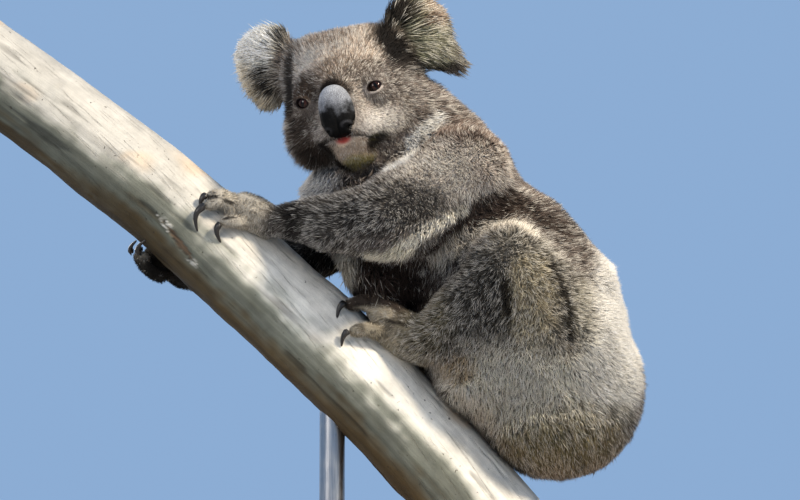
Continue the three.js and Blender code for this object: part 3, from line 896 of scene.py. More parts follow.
@dataclass(frozen=True)
class EyeFinish:
    """A wet brown eye with a dark rim and an upright slit of a pupil."""

    iris: float = 0.66
    slit: tuple = (0.17, 0.46)
    tones: tuple = (
        (0.0, "#1d0f09"), (0.30, "#2e170e"), (0.44, "#1d0d07"), (0.54, "#100704"), (0.66, "#060303"),
    )  # fmt: skip

    def material(self) -> Material:
        """Returns the material of the eyeball."""
        s = Shader("eye_wet")
        where = s.mapped("gaze")
        x = s.math("SUBTRACT", s.axis(where, 0), 0.5)
        y = s.math("SUBTRACT", s.axis(where, 1), 0.5)
        far = s.math("MULTIPLY", s.apart(x, y), 2.0)
        turn = s.math("ARCTAN2", y, x)
        rays = s.node("CombineXYZ", s.math("MULTIPLY", turn, 6.0), far)
        fibres = s.noise(3.0, 3, 0.6, rays.outputs[0])
        brown = s.ramp(s.math("ADD", far, s.span(fibres, 0.3, 0.7, -0.08, 0.08)), *self.tones)
        white = s.ramp(far, (0.66, "#0f0a07"), (0.78, "#3a2a20"), (1.0, "#6d5a4c"))
        outside = s.span(far, self.iris, self.iris + 0.05)
        narrow = s.math("POWER", s.math("DIVIDE", x, self.slit[0] / 2), 2.0)
        tall = s.math("POWER", s.math("DIVIDE", y, self.slit[1] / 2), 2.0)
        pupil = s.span(s.math("ADD", narrow, tall), 1.25, 0.8)
        s.set(
            Base_Color=s.mix(pupil, s.mix(outside, brown, white), "#050403"),
            Roughness=s.span(fibres, 0, 1, 0.05, 0.09),
        )
        s.set(Specular_IOR_Level=0.16, Coat_Weight=0.1, Coat_Roughness=0.02)
        return s.material


@dataclass(frozen=True)
class HornFinish:
    """Black-grey claw horn with fine lengthwise grain and scuffed backs."""

    grain: float = 700

    def material(self) -> Material:
        """Returns the material of the claws."""
        s = Shader("claw_horn")
        grain = s.noise(self.grain, 3, 0.6)
        scuffs = s.noise(260, 5, 0.7)
        dark = s.ramp(grain, (0.3, "#0f0d0c"), (0.7, "#231f1c"))
        s.set(
            Base_Color=s.mix(s.span(scuffs, 0.58, 0.74, 0, 0.5), dark, "#5c564e"),
            Roughness=s.span(scuffs, 0.3, 0.7, 0.28, 0.5),
        )
        s.bump((grain, 0.15), (scuffs, 0.12))
        return s.material


@dataclass(frozen=True)
class BarkFinish:
    """Smooth gum bark: the painted colours with their painted shade and light, with lengthwise streaks,
    cracks and flecks.
    """

    streaks: tuple = (12, 520, 12)
    cracks: tuple = (14, 300, 14)

    def material(self) -> Material:
        """Returns the material of the bark."""
        s = Shader("gum_bark")
        along = s.mapped("bark")
        # The painted colours, with their painted shade and light.
        zones_and_shade = s.painted()
        blotch = s.noise(38, 5, 0.6)
        fine = s.noise(1.0, 4, 0.65, s.stretched(self.streaks, where=along))
        lines = s.noise(1.0, 5, 0.75, s.stretched(self.cracks, (0, 0, 8), along))
        mottled = s.mix(1.0, zones_and_shade, s.span(blotch, 0.35, 0.65, 0.8, 1.06), "MULTIPLY")
        streaked = s.mix(1.0, mottled, s.span(fine, 0.35, 0.65, 0.92, 1.04), "MULTIPLY")
        crack = s.span(lines, 0.57, 0.68)
        cracked = s.mix(s.math("MULTIPLY", crack, 0.25), streaked, "#736d5d")
        fleck = s.span(s.noise(200, 3, 0.6), 0.69, 0.73)
        s.set(Base_Color=s.mix(s.math("MULTIPLY", fleck, 0.75), cracked, "#3f392f"),
              Roughness=s.span(blotch, 0.3, 0.7, 0.6, 0.85))  # fmt: skip
        s.set(Specular_IOR_Level=0.15)
        s.bump((s.noise(600, 5, 0.7), 0.35), (fine, 0.35), (crack, -0.5), (blotch, 0.5), (fleck, -0.5))
        return s.material


@dataclass(frozen=True)
class CutWoodFinish:
    """A sawn end of green wood, with growth rings and a darker heart."""

    rings: float = 16

    def material(self) -> Material:
        """Returns the material of the branch's cut faces."""
        s = Shader("cut_wood")
        where = s.mapped("rings")
        x = s.axis(where, 0)
        y = s.axis(where, 1)
        far = s.apart(x, y)
        wavy = s.math("ADD", s.math("MULTIPLY", far, self.rings), s.span(s.noise(60, 3), 0, 1, -0.6, 0.6))
        rings = s.math("FRACT", wavy)
        wood = s.ramp(rings, (0.0, "#a98a63"), (0.75, "#c9ae86"), (1.0, "#8c6c48"))
        heart = s.mix(s.span(far, 0.45, 0.1), wood, "#8a6440")
        saw = s.noise(1.0, 3, 0.6, s.stretched((900, 60, 60), (0, 20, 0)))
        s.set(
            Base_Color=s.mix(s.span(saw, 0.4, 0.7, 0, 0.35), heart, "#e0cba6"),
            Roughness=s.span(saw, 0.3, 0.7, 0.6, 0.8),
        )
        s.bump((rings, 0.3), (saw, 0.25))
        return s.material


@dataclass(frozen=True)
class BoardFinish:
    """Oiled oak with long grain and pores."""

    def material(self) -> Material:
        """Returns the material of the base board."""
        s = Shader("base_board")
        broad = s.noise(1.0, 3, 0.5, s.stretched((2.5, 26, 26)))
        grain = s.noise(1.0, 6, 0.65, s.stretched((9, 260, 260)))
        pores = s.noise(1.0, 2, 0.5, s.stretched((60, 1500, 1500)))
        wood = s.ramp(s.math("ADD", s.math("MULTIPLY", broad, 0.5), s.math("MULTIPLY", grain, 0.5)),
                      (0.35, "#8a6743"), (0.5, "#a9855c"), (0.65, "#bf9c72"))  # fmt: skip
        s.set(
            Base_Color=s.mix(s.span(pores, 0.6, 0.72, 0, 0.5), wood, "#5b4027"),
            Roughness=s.span(grain, 0.3, 0.7, 0.42, 0.58),
        )
        s.set(Coat_Weight=0.12)
        s.bump((grain, 0.2), (pores, -0.15))
        return s.material


@dataclass(frozen=True)
class SteelFinish:
    """Brushed steel with faint handling marks."""

    def material(self) -> Material:
        """Returns the material of the stand's rods."""
        s = Shader("stand_steel")
        brushed = s.noise(1.0, 3, 0.6, s.stretched((1800, 1800, 25)))
        marks = s.noise(45, 5, 0.6)
        s.set(
            Base_Color=s.ramp(brushed, (0.3, "#8b8d90"), (0.7, "#b4b6b8")),
            Metallic=1.0,
            Roughness=s.math("ADD", s.span(brushed, 0.3, 0.7, 0.26, 0.36), s.span(marks, 0.45, 0.7, 0, 0.12)),
        )
        s.bump((brushed, 0.05))
        return s.material


@dataclass(frozen=True)
class FloorFinish:
    """A plain pale studio floor with a trace of unevenness."""

    def material(self) -> Material:
        """Returns the material of the floor."""
        s = Shader("studio_floor")
        soft = s.noise(2.2, 3)
        s.set(
            Base_Color=s.ramp(soft, (0.3, "#a2a5a8"), (0.7, "#abadb0")),
            Roughness=s.span(soft, 0.3, 0.7, 0.6, 0.75),
        )
        return s.material


# ---------------------------------------------------------------- the skin
@dataclass
class Skin:
    """The finished skin, with what the coat needs to know at each of its points."""

    piece: Object
    points: Array
    triangles: Array
    normals: Array
    weights: Array
    lie: Array
    corner_uv: Array
    outer: BVHTree
    hollow: Array


@dataclass(frozen=True)
class Dab:
    """A soft push on both sides of the head, outward, or inward with a negative push."""

    at: tuple
    radii: tuple
    push: float


@dataclass(frozen=True)
class Lids:
    """The two lids of one eye, which hug the ball round an almond opening.

    fold and edge are ridges round the opening: where they are counted from its middle,
    how wide and how high.
    """

    ball: float = 8.6
    across: float = 6.0
    tall: float = 4.3
    thick: float = 0.8
    slope: float = 38
    blend: tuple = (5.0, 8.0)
    gaze: tuple = (0.2, -0.96, 0.05)
    tip: float = -17
    fold: tuple = (1.62, 0.14, -0.5)
    edge: tuple = (1.18, 0.12, 0.45)
    rim: str = "#1b1310"
    # The pale lower lid of the left eye alone, partly a painted highlight on its wet rim.
    lower_rim: str = "#b5aaa0"


@dataclass
class Hide:
    """One skin over all the flesh, inside the solids by the depth of the coat."""

    voxel: float = 1.9
    fine_voxel: float = 1.6
    kept_faces: float = 0.42
    inset_steps: int = 6
    fit_rounds: int = 3
    thinnest: float = 0.36
    blend: int = 24
    joints: dict = field(
        default_factory=lambda: {
            "shoulder_l": (60, -52, 450), "shoulder_r": (48, 50, 456),
            "elbow_l": (-6, -88, 402), "elbow_r": (-30, 86, 418),
            "hip_l": (142, -50, 292), "hip_r": (140, 52, 296),
            "knee_l": (104, -84, 356), "knee_r": (98, 86, 356),
            "chest": (28, 0, 436), "loin": (96, 0, 368), "pelvis": (146, 0, 254),
        }
    )  # fmt: skip
    wrist: dict = field(default_factory=lambda: {"l": (314, 38, 18), "r": (304, -108, 20)})
    ankle: dict = field(default_factory=lambda: {"l": (492, 34, 30), "r": (500, -38, 30)})
    face_middle: tuple = (0, -62, -12)
    face_reach: tuple = (58, 44, 62)
    lids: Lids = Lids()
    pad_oval: tuple = (16.6, 24.4)
    pad_bed: float = -66
    dabs: tuple = (
        Dab((0, -70, -10), (13, 20, 20), -2.5),
        Dab((27, -60, -27), (12, 14, 10), 3.4),
        Dab((34, -50, 18), (15, 12, 6), 2.2),
        Dab((21, -52, 6), (6, 12, 10), -2.0),
        Dab((0, -56, 32), (5, 20, 16), -1.2),
        Dab((0, -60, -50), (16, 18, 11), 2.2),
        Dab((25, -46, -52), (6, 16, 12), -4.5),
    )
    nose_bridge: tuple = (0, -70, 6)
    ear_hub: tuple = (44, 0, 48)
    mouth: tuple = ((0, -36.5), (9, -33), (18, -35), (27, -40.5), (35, -47))
    crease_wide: float = 1.7
    crease_deep: float = 3.4
    lip_at: tuple = (0, -66, -36.6)
    lip_size: tuple = (7.2, 10, 3.6)
    lip_red: str = "#943a33"
    lip_dark: str = "#1d1411"
    # Painted shade: the skin under the coat is darkened to this share of the coat's colour.
    skin_shade: float = 0.7

    def build(self) -> Skin:
        """Makes the skin.

        Returns:
            The skin, unwrapped, painted and dressed.
        """
        nodes = [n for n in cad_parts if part_of(n)]
        tree, owner = self._finder(nodes)
        piece = self._melted(nodes)
        points, triangles = read_mesh(piece.data)
        outer = BVHTree.FromPolygons(points.tolist(), triangles.tolist())
        self._inset(piece, nodes, tree, owner, outer)
        self._refine_face(piece)
        self._sculpt(piece)
        return self._finished(piece, nodes, tree, owner, outer)

    @staticmethod
    def _finder(nodes: list[str]) -> tuple[BVHTree, list[int]]:
        """Returns a tree of the flesh solids' faces, and each face's node as its place in the list."""
        corners, faces, owner = [], [], []
        for k, name in enumerate(nodes):
            points, triangles = read_mesh(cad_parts[name].data)
            faces += (triangles + len(corners)).tolist()
            corners += points.tolist()
            owner += [k] * len(triangles)
        return BVHTree.FromPolygons(corners, faces), owner

    @staticmethod
    def _evened(piece: Object, rounds: int) -> None:
        """Smooths a piece without drawing it in."""
        points, _ = read_mesh(piece.data)
        edges = edges_of(piece.data)
        for _ in range(rounds):
            points = relaxed(points, edges, 1, 0.5)
            points = relaxed(points, edges, 1, -0.52)
        write_points(piece.data, points)

    def _melted(self, nodes: list[str]) -> Object:
        """Returns the flesh solids as one smooth body, with the eyes and nose in their sockets."""
        joined = bmesh.new()
        for name in [*nodes, "eye_l", "eye_r", "nose"]:
            joined.from_mesh(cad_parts[name].data)
        mesh = bpy.data.meshes.new("skin")
        joined.to_mesh(mesh)
        joined.free()
        piece = linked("skin", mesh)
        remeshed(piece, self.voxel)
        self._evened(piece, 5)
        return piece

    @staticmethod
    def _weights(points: Array, edges: Array, tree: BVHTree, owner: list[int], rounds: int) -> Array:
        """Returns each point's share of each node, soft across their borders."""
        nearest = [owner[tree.find_nearest(p)[2]] for p in points.tolist()]
        share = np.zeros((len(points), owner[-1] + 1))
        share[np.arange(len(points)), nearest] = 1
        share = relaxed(share, edges, rounds, 0.6)
        return share / share.sum(1, keepdims=True)

    @staticmethod
    def by_part(share: Array, nodes: list[str]) -> Array:
        """Returns shares of nodes summed up into shares of parts."""
        member = np.array([[part_of(n) is p for p in PARTS] for n in nodes], float)
        return share @ member

    @staticmethod
    def face_share(points: Array) -> Array:
        """Returns how much a place belongs to the short-haired face, from 0 to 1."""
        local = HEAD.into(points)
        front = fade(-local[:, 1] - 0.25 * np.abs(local[:, 0]), 4, 26)
        return front * (1 - fade(local[:, 2], 40, 64)) * fade(local[:, 2], -84, -60)

    def _depths(self, points: Array, normals: Array, edges: Array, parts: Array, outer: BVHTree) -> Array:
        """Returns how far under the solids the skin lies at each point."""
        depth = styled(parts, "depth")
        head = share_of(parts, Part.HEAD)
        depth += head * self.face_share(points) * (FACE.depth - STYLES[Part.HEAD].depth)
        _, arm = PERCH.nearest(points)
        clear = np.linalg.norm(arm, axis=1) - PERCH.radius_low
        paws = share_of(parts, Part.HAND, Part.FOOT)
        depth *= 1 - 0.9 * paws * (1 - fade(clear, 0, 5))
        inward = (points - normals * 0.4).tolist()
        hits = [outer.ray_cast(p, w, 60)[3] or 60 for p, w in zip(inward, (-normals).tolist())]
        depth = np.minimum(depth, self.thinnest * np.array(hits))
        return relaxed(depth[:, None], edges, 8)[:, 0]

    def _inset(
        self, piece: Object, nodes: list[str], tree: BVHTree, owner: list[int], outer: BVHTree
    ) -> None:
        """Draws the body in by the coat's depth, and then fits it to that depth."""
        points, triangles = read_mesh(piece.data)
        edges = edges_of(piece.data)
        share = self._weights(points, edges, tree, owner, self.blend // 2)
        normals = point_normals(points, triangles)
        depth = self._depths(points, normals, edges, self.by_part(share, nodes), outer)
        soft = 0.5 * (0.06 + 0.94 * np.clip(depth / 11, 0, 1))
        for _ in range(self.inset_steps):
            points = points - point_normals(points, triangles) * (depth / self.inset_steps)[:, None]
            points = relaxed(points, edges, 1, soft)
        for _ in range(self.fit_rounds):
            found = [outer.find_nearest(p) for p in points.tolist()]
            border = np.array([f[0] for f in found])
            facing = np.array([f[1] for f in found])
            inside = np.einsum("ij,ij->i", points - border, facing) < 0
            outward = unit(np.where(inside[:, None], border - points, points - border))
            points = points + 0.6 * (border - outward * depth[:, None] - points)
            points = relaxed(points, edges, 1, 0.6 * soft)
        write_points(piece.data, points)
        remeshed(piece, self.fine_voxel)
        self._evened(piece, 3)
        lighter = piece.modifiers.new("lighter", "DECIMATE")
        lighter.ratio = self.kept_faces
        applied(piece)

    def _refine_face(self, piece: Object) -> None:
        """Divides the face's squares twice, finest near the eyes, nose and mouth."""
        for reach in (1.0, 0.86):
            work = bmesh.new()
            work.from_mesh(piece.data)
            middles = np.array([f.calc_center_median() for f in work.faces]) / MM
            size = tuple(r * reach for r in self.face_reach)
            near = bounded(HEAD.into(middles), self.face_middle, size) < 1
            work.faces.ensure_lookup_table()
            edges = {e for i in np.flatnonzero(near) for e in work.faces[i].edges}
            ordered = sorted(edges, key=lambda e: e.index)
            bmesh.ops.subdivide_edges(work, edges=ordered, cuts=1, use_grid_fill=True, smooth=0.0)
            work.to_mesh(piece.data)
            work.free()
        points, _ = read_mesh(piece.data)
        near = bounded(HEAD.into(points), self.face_middle, self.face_reach) < 1.15
        points = relaxed(points, edges_of(piece.data), 6, near * 0.5)
        write_points(piece.data, points)

    def _sculpt(self, piece: Object) -> None:
        """Shapes the face: its puffs and hollows, the mouth, and the lids."""
        points, triangles = read_mesh(piece.data)
        normals = point_normals(points, triangles) @ HEAD.turn()
        local = HEAD.into(points)
        move = np.zeros(len(points))
        place = left_half(local)
        for dab in self.dabs:
            move += dab.push * np.exp(-(bounded(place, dab.at, dab.radii) ** 2))
        move -= self.crease_deep * np.exp(-((self.mouth_gap(local) / self.crease_wide) ** 2))
        local = local + normals * move[:, None]
        under_pad = 1 - fade(pad_distance(local, self.pad_oval), 0.93, 1.06)
        local[:, 1] += under_pad * np.maximum(0, self.pad_bed - local[:, 1])
        for hand in (1, -1):
            local = self._shaped_lids(local, hand)
        write_points(piece.data, HEAD.out(local))

    def mouth_gap(self, local: Array) -> Array:
        """Returns the distance of places in the head's axes from the line of the lips."""
        side = np.abs(local[:, 0])
        line = np.array(self.mouth)
        level = np.interp(side, line[:, 0], line[:, 1])
        slope = np.interp(side, line[:, 0], np.gradient(line[:, 1], line[:, 0]))
        gap = np.abs(local[:, 2] - level) / np.sqrt(1 + slope**2)
        past = np.maximum(0, side - line[-1, 0])
        behind = np.maximum(0, local[:, 1] + 26)
        return np.sqrt(gap**2 + past**2 + behind**2)

    def eye_axes(self, hand: int) -> tuple[Array, Array]:
        """Returns an eye's centre, and its axes across, up and along the gaze, in the head's axes."""
        gaze = unit(np.array(self.lids.gaze) * (hand, 1, 1))
        across = unit(np.cross((0, 0, 1), -gaze))
        up = np.cross(-gaze, across)
        tip = math.radians(self.lids.tip) * hand
        turned_across = across * math.cos(tip) + up * math.sin(tip)
        turned_up = up * math.cos(tip) - across * math.sin(tip)
        return np.array(EYE) * (hand, 1, 1), np.stack([turned_across, turned_up, gaze])

    def eye_view(self, local: Array, hand: int) -> tuple[Array, Array, Array]:
        """Looks at places of the head from straight in front of one eye.

        Args:
            local: Places in the head's axes.
            hand: 1 for the left eye and -1 for the right.

        Returns:
            The places in the eye's axes, their distance from the opening's middle with 1 at its edge, and
            how much each belongs to the pale lower lid.
        """
        centre, axes = self.eye_axes(hand)
        q = (local - centre) @ axes.T
        opening = np.hypot(q[:, 0] / self.lids.across, q[:, 1] / self.lids.tall)
        return q, opening, fade(-q[:, 1], 1.5, 3.5) * (hand > 0)

    def _shaped_lids(self, local: Array, hand: int) -> Array:
        """Returns the points with the skin round one eye drawn over the ball, and open in front of it."""
        lids = self.lids
        centre, axes = self.eye_axes(hand)
        q, opening, _ = self.eye_view(local, hand)
        shell = lids.ball + lids.thick
        flat = np.hypot(q[:, 0], q[:, 1])
        turn = shell * math.sin(math.radians(lids.slope))
        dome = np.sqrt(np.maximum(shell**2 - np.minimum(flat, turn) ** 2, 0))
        dome -= math.tan(math.radians(lids.slope)) * np.maximum(0, flat - turn)
        front = (q[:, 2] > -6) & (flat < 22)
        over = 0.5 * (q[:, 2] + dome + np.sqrt((q[:, 2] - dome) ** 2 + 0.6))
        height = dome + fade(flat, *lids.blend) * (over - dome)
        for at, wide, high in (lids.fold, lids.edge):
            height += high * np.exp(-(((opening - at) / wide) ** 2))
        inside = 1 - fade(opening, 0.94, 1.04)
        height += inside * (2.0 - height)
        q[:, 2] = np.where(front, height, q[:, 2])
        return q @ axes + centre

    def _lie(self, points: Array, share: Array, nodes: list[str]) -> Array:
        """Returns the way that the coat lies at each point, before it is laid on the skin."""
        j = {k: np.array(v, float) for k, v in self.joints.items()}
        for side in "lr":
            j[f"wrist_{side}"] = PERCH.place(*self.wrist[side])
            j[f"ankle_{side}"] = PERCH.place(*self.ankle[side])
        local = HEAD.into(points)
        from_nose = (local - np.array(self.nose_bridge)) @ HEAD.turn().T
        down = np.array((0, 0, -1.0))
        from_eyes = np.zeros_like(points)
        for hand in (1, -1):
            away = (local - self.eye_axes(hand)[0]) @ HEAD.turn().T
            from_eyes += 3 * np.exp(-((np.linalg.norm(away, axis=1) / 14) ** 4))[:, None] * unit(away)
        flow = np.zeros_like(points)
        for k, name in enumerate(nodes):
            part, side = part_of(name), name[-1]
            if part in (Part.HEAD, Part.NECK):
                way = unit(from_nose) + (0.5 * down if part is Part.NECK else from_eyes)
            elif part is Part.EAR:
                hub = HEAD.out(np.array(self.ear_hub) * (1 if side == "l" else -1, 1, 1))
                way = unit(points - hub) + 0.25 * down
            elif part is Part.TRUNK:
                high = fade(points[:, 2], 300, 420)[:, None]
                spine = high * unit(j["loin"] - j["chest"]) + (1 - high) * unit(j["pelvis"] - j["loin"])
                front = fade(-points[:, 0], 10, 50)[:, None]
                way = spine * (1 - front) + down * (0.35 + front)
            elif part is Part.UPPER_ARM:
                way = unit(j[f"elbow_{side}"] - j[f"shoulder_{side}"]) + 0.7 * down
            elif part is Part.FOREARM:
                way = unit(j[f"wrist_{side}"] - j[f"elbow_{side}"]) + 0.7 * down
            elif part is Part.THIGH:
                way = unit(j[f"hip_{side}"] - j[f"knee_{side}"]) * 0.4 + down
            elif part is Part.SHANK:
                way = unit(j[f"ankle_{side}"] - j[f"knee_{side}"])
            else:
                centre = sum(np.array(c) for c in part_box(name)) / 2 / MM
                joint = j[("wrist_" if part is Part.HAND else "ankle_") + side]
                way = unit(centre - joint)
            flow += share[:, k : k + 1] * way
        return flow

    def _finished(
        self, piece: Object, nodes: list[str], tree: BVHTree, owner: list[int], outer: BVHTree
    ) -> Skin:
        """Unwraps and paints the skin, and works out the coat's lie on it."""
        bpy.context.view_layer.objects.active = piece
        piece.select_set(True)
        bpy.ops.object.mode_set(mode="EDIT")
        bpy.ops.mesh.select_all(action="SELECT")
        bpy.ops.uv.smart_project(angle_limit=1.15, island_margin=0.002)
        bpy.ops.object.mode_set(mode="OBJECT")
        mesh = piece.data
        mesh.uv_layers[0].name = UV_LAYER
        points, triangles = read_mesh(mesh)
        edges = edges_of(mesh)
        share = self._weights(points, edges, tree, owner, self.blend)
        normals = point_normals(points, triangles)
        flow = relaxed(self._lie(points, share, nodes), edges, 6)
        flow -= normals * np.einsum("ij,ij->i", flow, normals)[:, None]
        flow = unit(relaxed(unit(flow), edges, 4))
        weights = self.by_part(share, nodes)
        # How sunken the skin is; the coat is darkened there as painted shade.
        sunk = np.einsum("ij,ij->i", relaxed(points, edges, 14, 0.6) - points, normals)
        hollow = relaxed(fade(sunk, 0.25, 1.6)[:, None], edges, 2)[:, 0]
        self._paint(mesh, points, normals, weights)
        shade_smooth(mesh)
        dress(piece, SkinFinish().material())
        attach(piece, "root")
        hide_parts(*nodes)
        uv = gathered(mesh.uv_layers[UV_LAYER].data, "uv", 2)
        corner_uv = uv[gathered(mesh.loop_triangles, "loops", 3, np.int32)]
        return Skin(piece, points, triangles, normals, weights, flow, corner_uv, outer, hollow)

    def _paint(self, mesh: Mesh, points: Array, normals: Array, weights: Array) -> None:
        """Stores the markings on the skin, darkened as painted shade under the coat, with dark lid rims, a
        pale lower lid that is partly a painted highlight, and a dark line of the lips.
        """
        depth = styled(weights, "depth")
        colour, _, _ = MARKINGS.colours(points + normals * depth[:, None], weights)
        # Painted shade under the coat.
        colour = colour * self.skin_shade
        local = HEAD.into(points)
        head = share_of(weights, Part.HEAD)
        lips = np.exp(-((self.mouth_gap(local) / 1.6) ** 2)) * head
        tint(colour, lips, self.lip_dark)
        tongue = np.exp(-(bounded(local, self.lip_at, self.lip_size) ** 4)) * head
        tint(colour, tongue, self.lip_red)
        for hand in (1, -1):
            q, opening, low = self.eye_view(local, hand)
            # A dark rim round each opening, and on the left eye a pale lower lid that is partly a painted
            # highlight.
            rim = (1 - fade(opening, 1.14 + 0.22 * low, 1.26 + 0.26 * low)) * (q[:, 2] > 0)
            shade = tone(self.lids.rim) + low[:, None] * (tone(self.lids.lower_rim) - tone(self.lids.rim))
            colour += rim[:, None] * (shade - colour)
        paint_points(mesh, colour)


# ---------------------------------------------------------------- the coat
@dataclass
class Roots:
    """Where tufts grow from the skin, one to a row of each array."""

    points: Array
    normals: Array
    lie: Array
    weights: Array
    uv: Array
    hollow: Array


class Cut(Enum):
    """The two shapes of tuft, by how many rings of corners each has below its tip."""

    SHORT = 1
    LONG = 2

    def faces(self) -> Array:
        """Returns one tuft's triangles: its root, its sides and its point."""
        rings = self.value
        out = [(0, 2, 1)]
        for ring in range(rings):
            for k in range(3):
                a, b = 3 * ring + k, 3 * ring + (k + 1) % 3
                out += [(a, b, 3 * rings)] if ring == rings - 1 else [(a, b, b + 3), (a, b + 3, a + 3)]
        return np.array(out)

    def square(self) -> Array:
        """Returns where one tuft's corners are in its own patch of the map, from -0.5 to 0.5."""
        rows = [(x, ring / self.value) for ring in range(self.value) for x in (0, 0.5, 1)]
        return np.array([*rows, (0.5, 1)]) - 0.5


@dataclass
class Coat:
    """The fur: tapered three-sided tufts rooted in the skin, in joined pieces.

    longer and wisps are places where tufts grow longer, on the body and on the head: a line,
    its size and the factor. strays is the share of long tufts on the body and the further
    share on the ears, shortest a tuft's least length and what the face adds, locks how many
    tufts gather in one and how strongly, and contact the shade beside the branch: from
    where, to where and how deep.
    """

    skin: Skin
    hide: Hide
    seed: int = 11
    most_triangles: int = 190000
    map_patch: float = 0.003
    root_shade: float = 0.42
    pale_tip: str = "#ebe6db"
    dark_tip: str = "#1f1b18"
    longer: tuple = (
        (((-60, -104, 366), (-18, -112, 368), (25, -118, 386), (50, -104, 402)), (14,), 1.5),
        (((-84, 0, 440),), (44, 80, 44), 1.35),
        (((150, -70, 200),), (80, 90, 36), 1.25),
        (((-60, -50, 470), (-30, -60, 452)), (16,), 1.3),
        (((-52, -11, 360), (-30, -30, 350)), (18,), 2.2),
        (((-112, -58, 370), (-60, -96, 363), (-30, -110, 363)), (15,), 2.5),
    )
    wisps: tuple = (
        (((-56, -34, -16), (-50, -38, -44), (-40, -34, -62)), (18,), 2.6),
        (((-48, -40, -40), (-40, -36, -58)), (13,), 3.6),
        (((92, 8, 6), (104, 16, 8)), (16,), 1.9),
        (((-62, -22, 4), (-60, -28, -12)), (10,), 1.6),
        (((-46, -14, 70), (-58, -10, 80)), (14,), 1.6),
        (((-20, -10, 66), (30, -10, 66)), (12,), 1.25),
    )
    bare_pad: tuple = ((0, -70, -9.5), (15.5, 18, 23.5))
    strays: tuple = (0.06, 0.1)
    stray_reach: tuple = (1.1, 1.4)
    shortest: tuple = (1.6, 1.4)
    locks: tuple = ((13, 1.0), (90, 0.45))
    uneven_tone: float = 0.26
    uneven_warmth: float = 0.025
    contact: tuple = (2, 16, 0.72)
    groups: tuple = (
        ("head", (Part.HEAD,)), ("ears", (Part.EAR,)), ("neck", (Part.NECK,)), ("trunk", (Part.TRUNK,)),
        ("arms", (Part.UPPER_ARM, Part.FOREARM)), ("legs", (Part.THIGH, Part.SHANK)),
        ("paws", (Part.HAND, Part.FOOT)),
    )  # fmt: skip
    rng: np.random.Generator = field(init=False)
    reach: Array = field(init=False)
    leader: Array = field(init=False)

    def build(self) -> list[Object]:
        """Grows the whole coat.

        Returns:
            Its pieces.
        """
        self.rng = np.random.default_rng(self.seed)
        material = FurFinish().material()
        face = self.hide.face_share(self.skin.points) * share_of(self.skin.weights, Part.HEAD)
        roots, face = self._scattered(face)
        main_part = roots.weights.argmax(1)
        paths, widths, is_long = self._laid(roots, face)
        colours = self._coloured(roots, 0.2 * roots.points + 0.8 * self.reach)
        pieces = []
        for name, parts in self.groups:
            in_group = np.isin(main_part, [PARTS.index(p) for p in parts])
            for cut, wanted, kind in ((Cut.SHORT, ~is_long, "coat"), (Cut.LONG, is_long, "locks")):
                mine = np.flatnonzero(in_group & wanted)
                mine = mine[np.argsort(roots.points[mine, 0], kind="stable")]
                shares = math.ceil(len(mine) * len(cut.faces()) / self.most_triangles)
                for k, chosen in enumerate(np.array_split(mine, shares) if shares else []):
                    piece = self._piece(f"{kind}_{name}_{k + 1}", cut, roots, paths, widths, colours, chosen)
                    dress(piece, material)
                    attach(piece, "root")
                    pieces.append(piece)
        return pieces

    def _blended(self, weights: Array, face: Array, name: str) -> Array:
        """Returns one of the style's sizes at each place."""
        value = styled(weights, name)
        return value + face * (getattr(FACE, name) - value)

    def _scattered(self, face: Array) -> tuple[Roots, Array]:
        """Spreads roots evenly over the skin at the styles' spacing.

        Args:
            face: Each of the skin's points' share of the face.

        Returns:
            The roots, and each root's share of the face.
        """
        s = self.skin
        spacing = self._blended(s.weights, face, "spacing")
        corners = s.points[s.triangles]
        sides = corners[:, 1:] - corners[:, :1]
        area = np.linalg.norm(np.cross(sides[:, 0], sides[:, 1]), axis=1) / 2
        gap = spacing[s.triangles].mean(1)
        open_skin = 1 - self._bare(s.points)[s.triangles].mean(1)
        wanted = area / gap**2 * (open_skin > 0.5)
        count = int(wanted.sum() * 2.2)
        pick = np.searchsorted(np.cumsum(wanted) / wanted.sum(), self.rng.random(count))
        pick = np.minimum(pick, len(wanted) - 1)
        a, b = self.rng.random((2, count))
        fold = a + b > 1
        a, b = np.where(fold, 1 - a, a), np.where(fold, 1 - b, b)
        share = np.stack([1 - a - b, a, b], axis=1)
        places = np.einsum("ij,ijk->ik", share, corners[pick])
        cells = np.floor(places / (gap[pick] * 0.97)[:, None]).astype(np.int64)
        _, first = np.unique(cell_numbers(cells), return_index=True)
        first.sort()
        pick, share, places = pick[first], share[first], places[first]

        def carried(values: Array) -> Array:
            """Returns values of the skin's points at the roots."""
            return np.einsum("ij,ij...->i...", share, values[s.triangles[pick]])

        roots = Roots(
            places,
            unit(carried(s.normals)),
            unit(carried(s.lie)),
            carried(s.weights),
            np.einsum("ij,ijk->ik", share, s.corner_uv[pick]),
            carried(s.hollow),
        )
        return roots, carried(face)

    def _bare(self, points: Array) -> Array:
        """Returns 1 where no hair grows: under the nose pad, in the eyes and on the line of the lips."""
        local = HEAD.into(points)
        pad = bounded(local, *self.bare_pad) < 1
        lips = (self.hide.mouth_gap(local) < 1.2) & (local[:, 1] < -20)
        bare = pad | lips | (bounded(local, self.hide.lip_at, self.hide.lip_size) < 1.1)
        for hand in (1, -1):
            q, opening, low = self.hide.eye_view(local, hand)
            bare |= (opening < 1.2 + 0.2 * low) & (q[:, 2] > -3)
        return bare.astype(float)

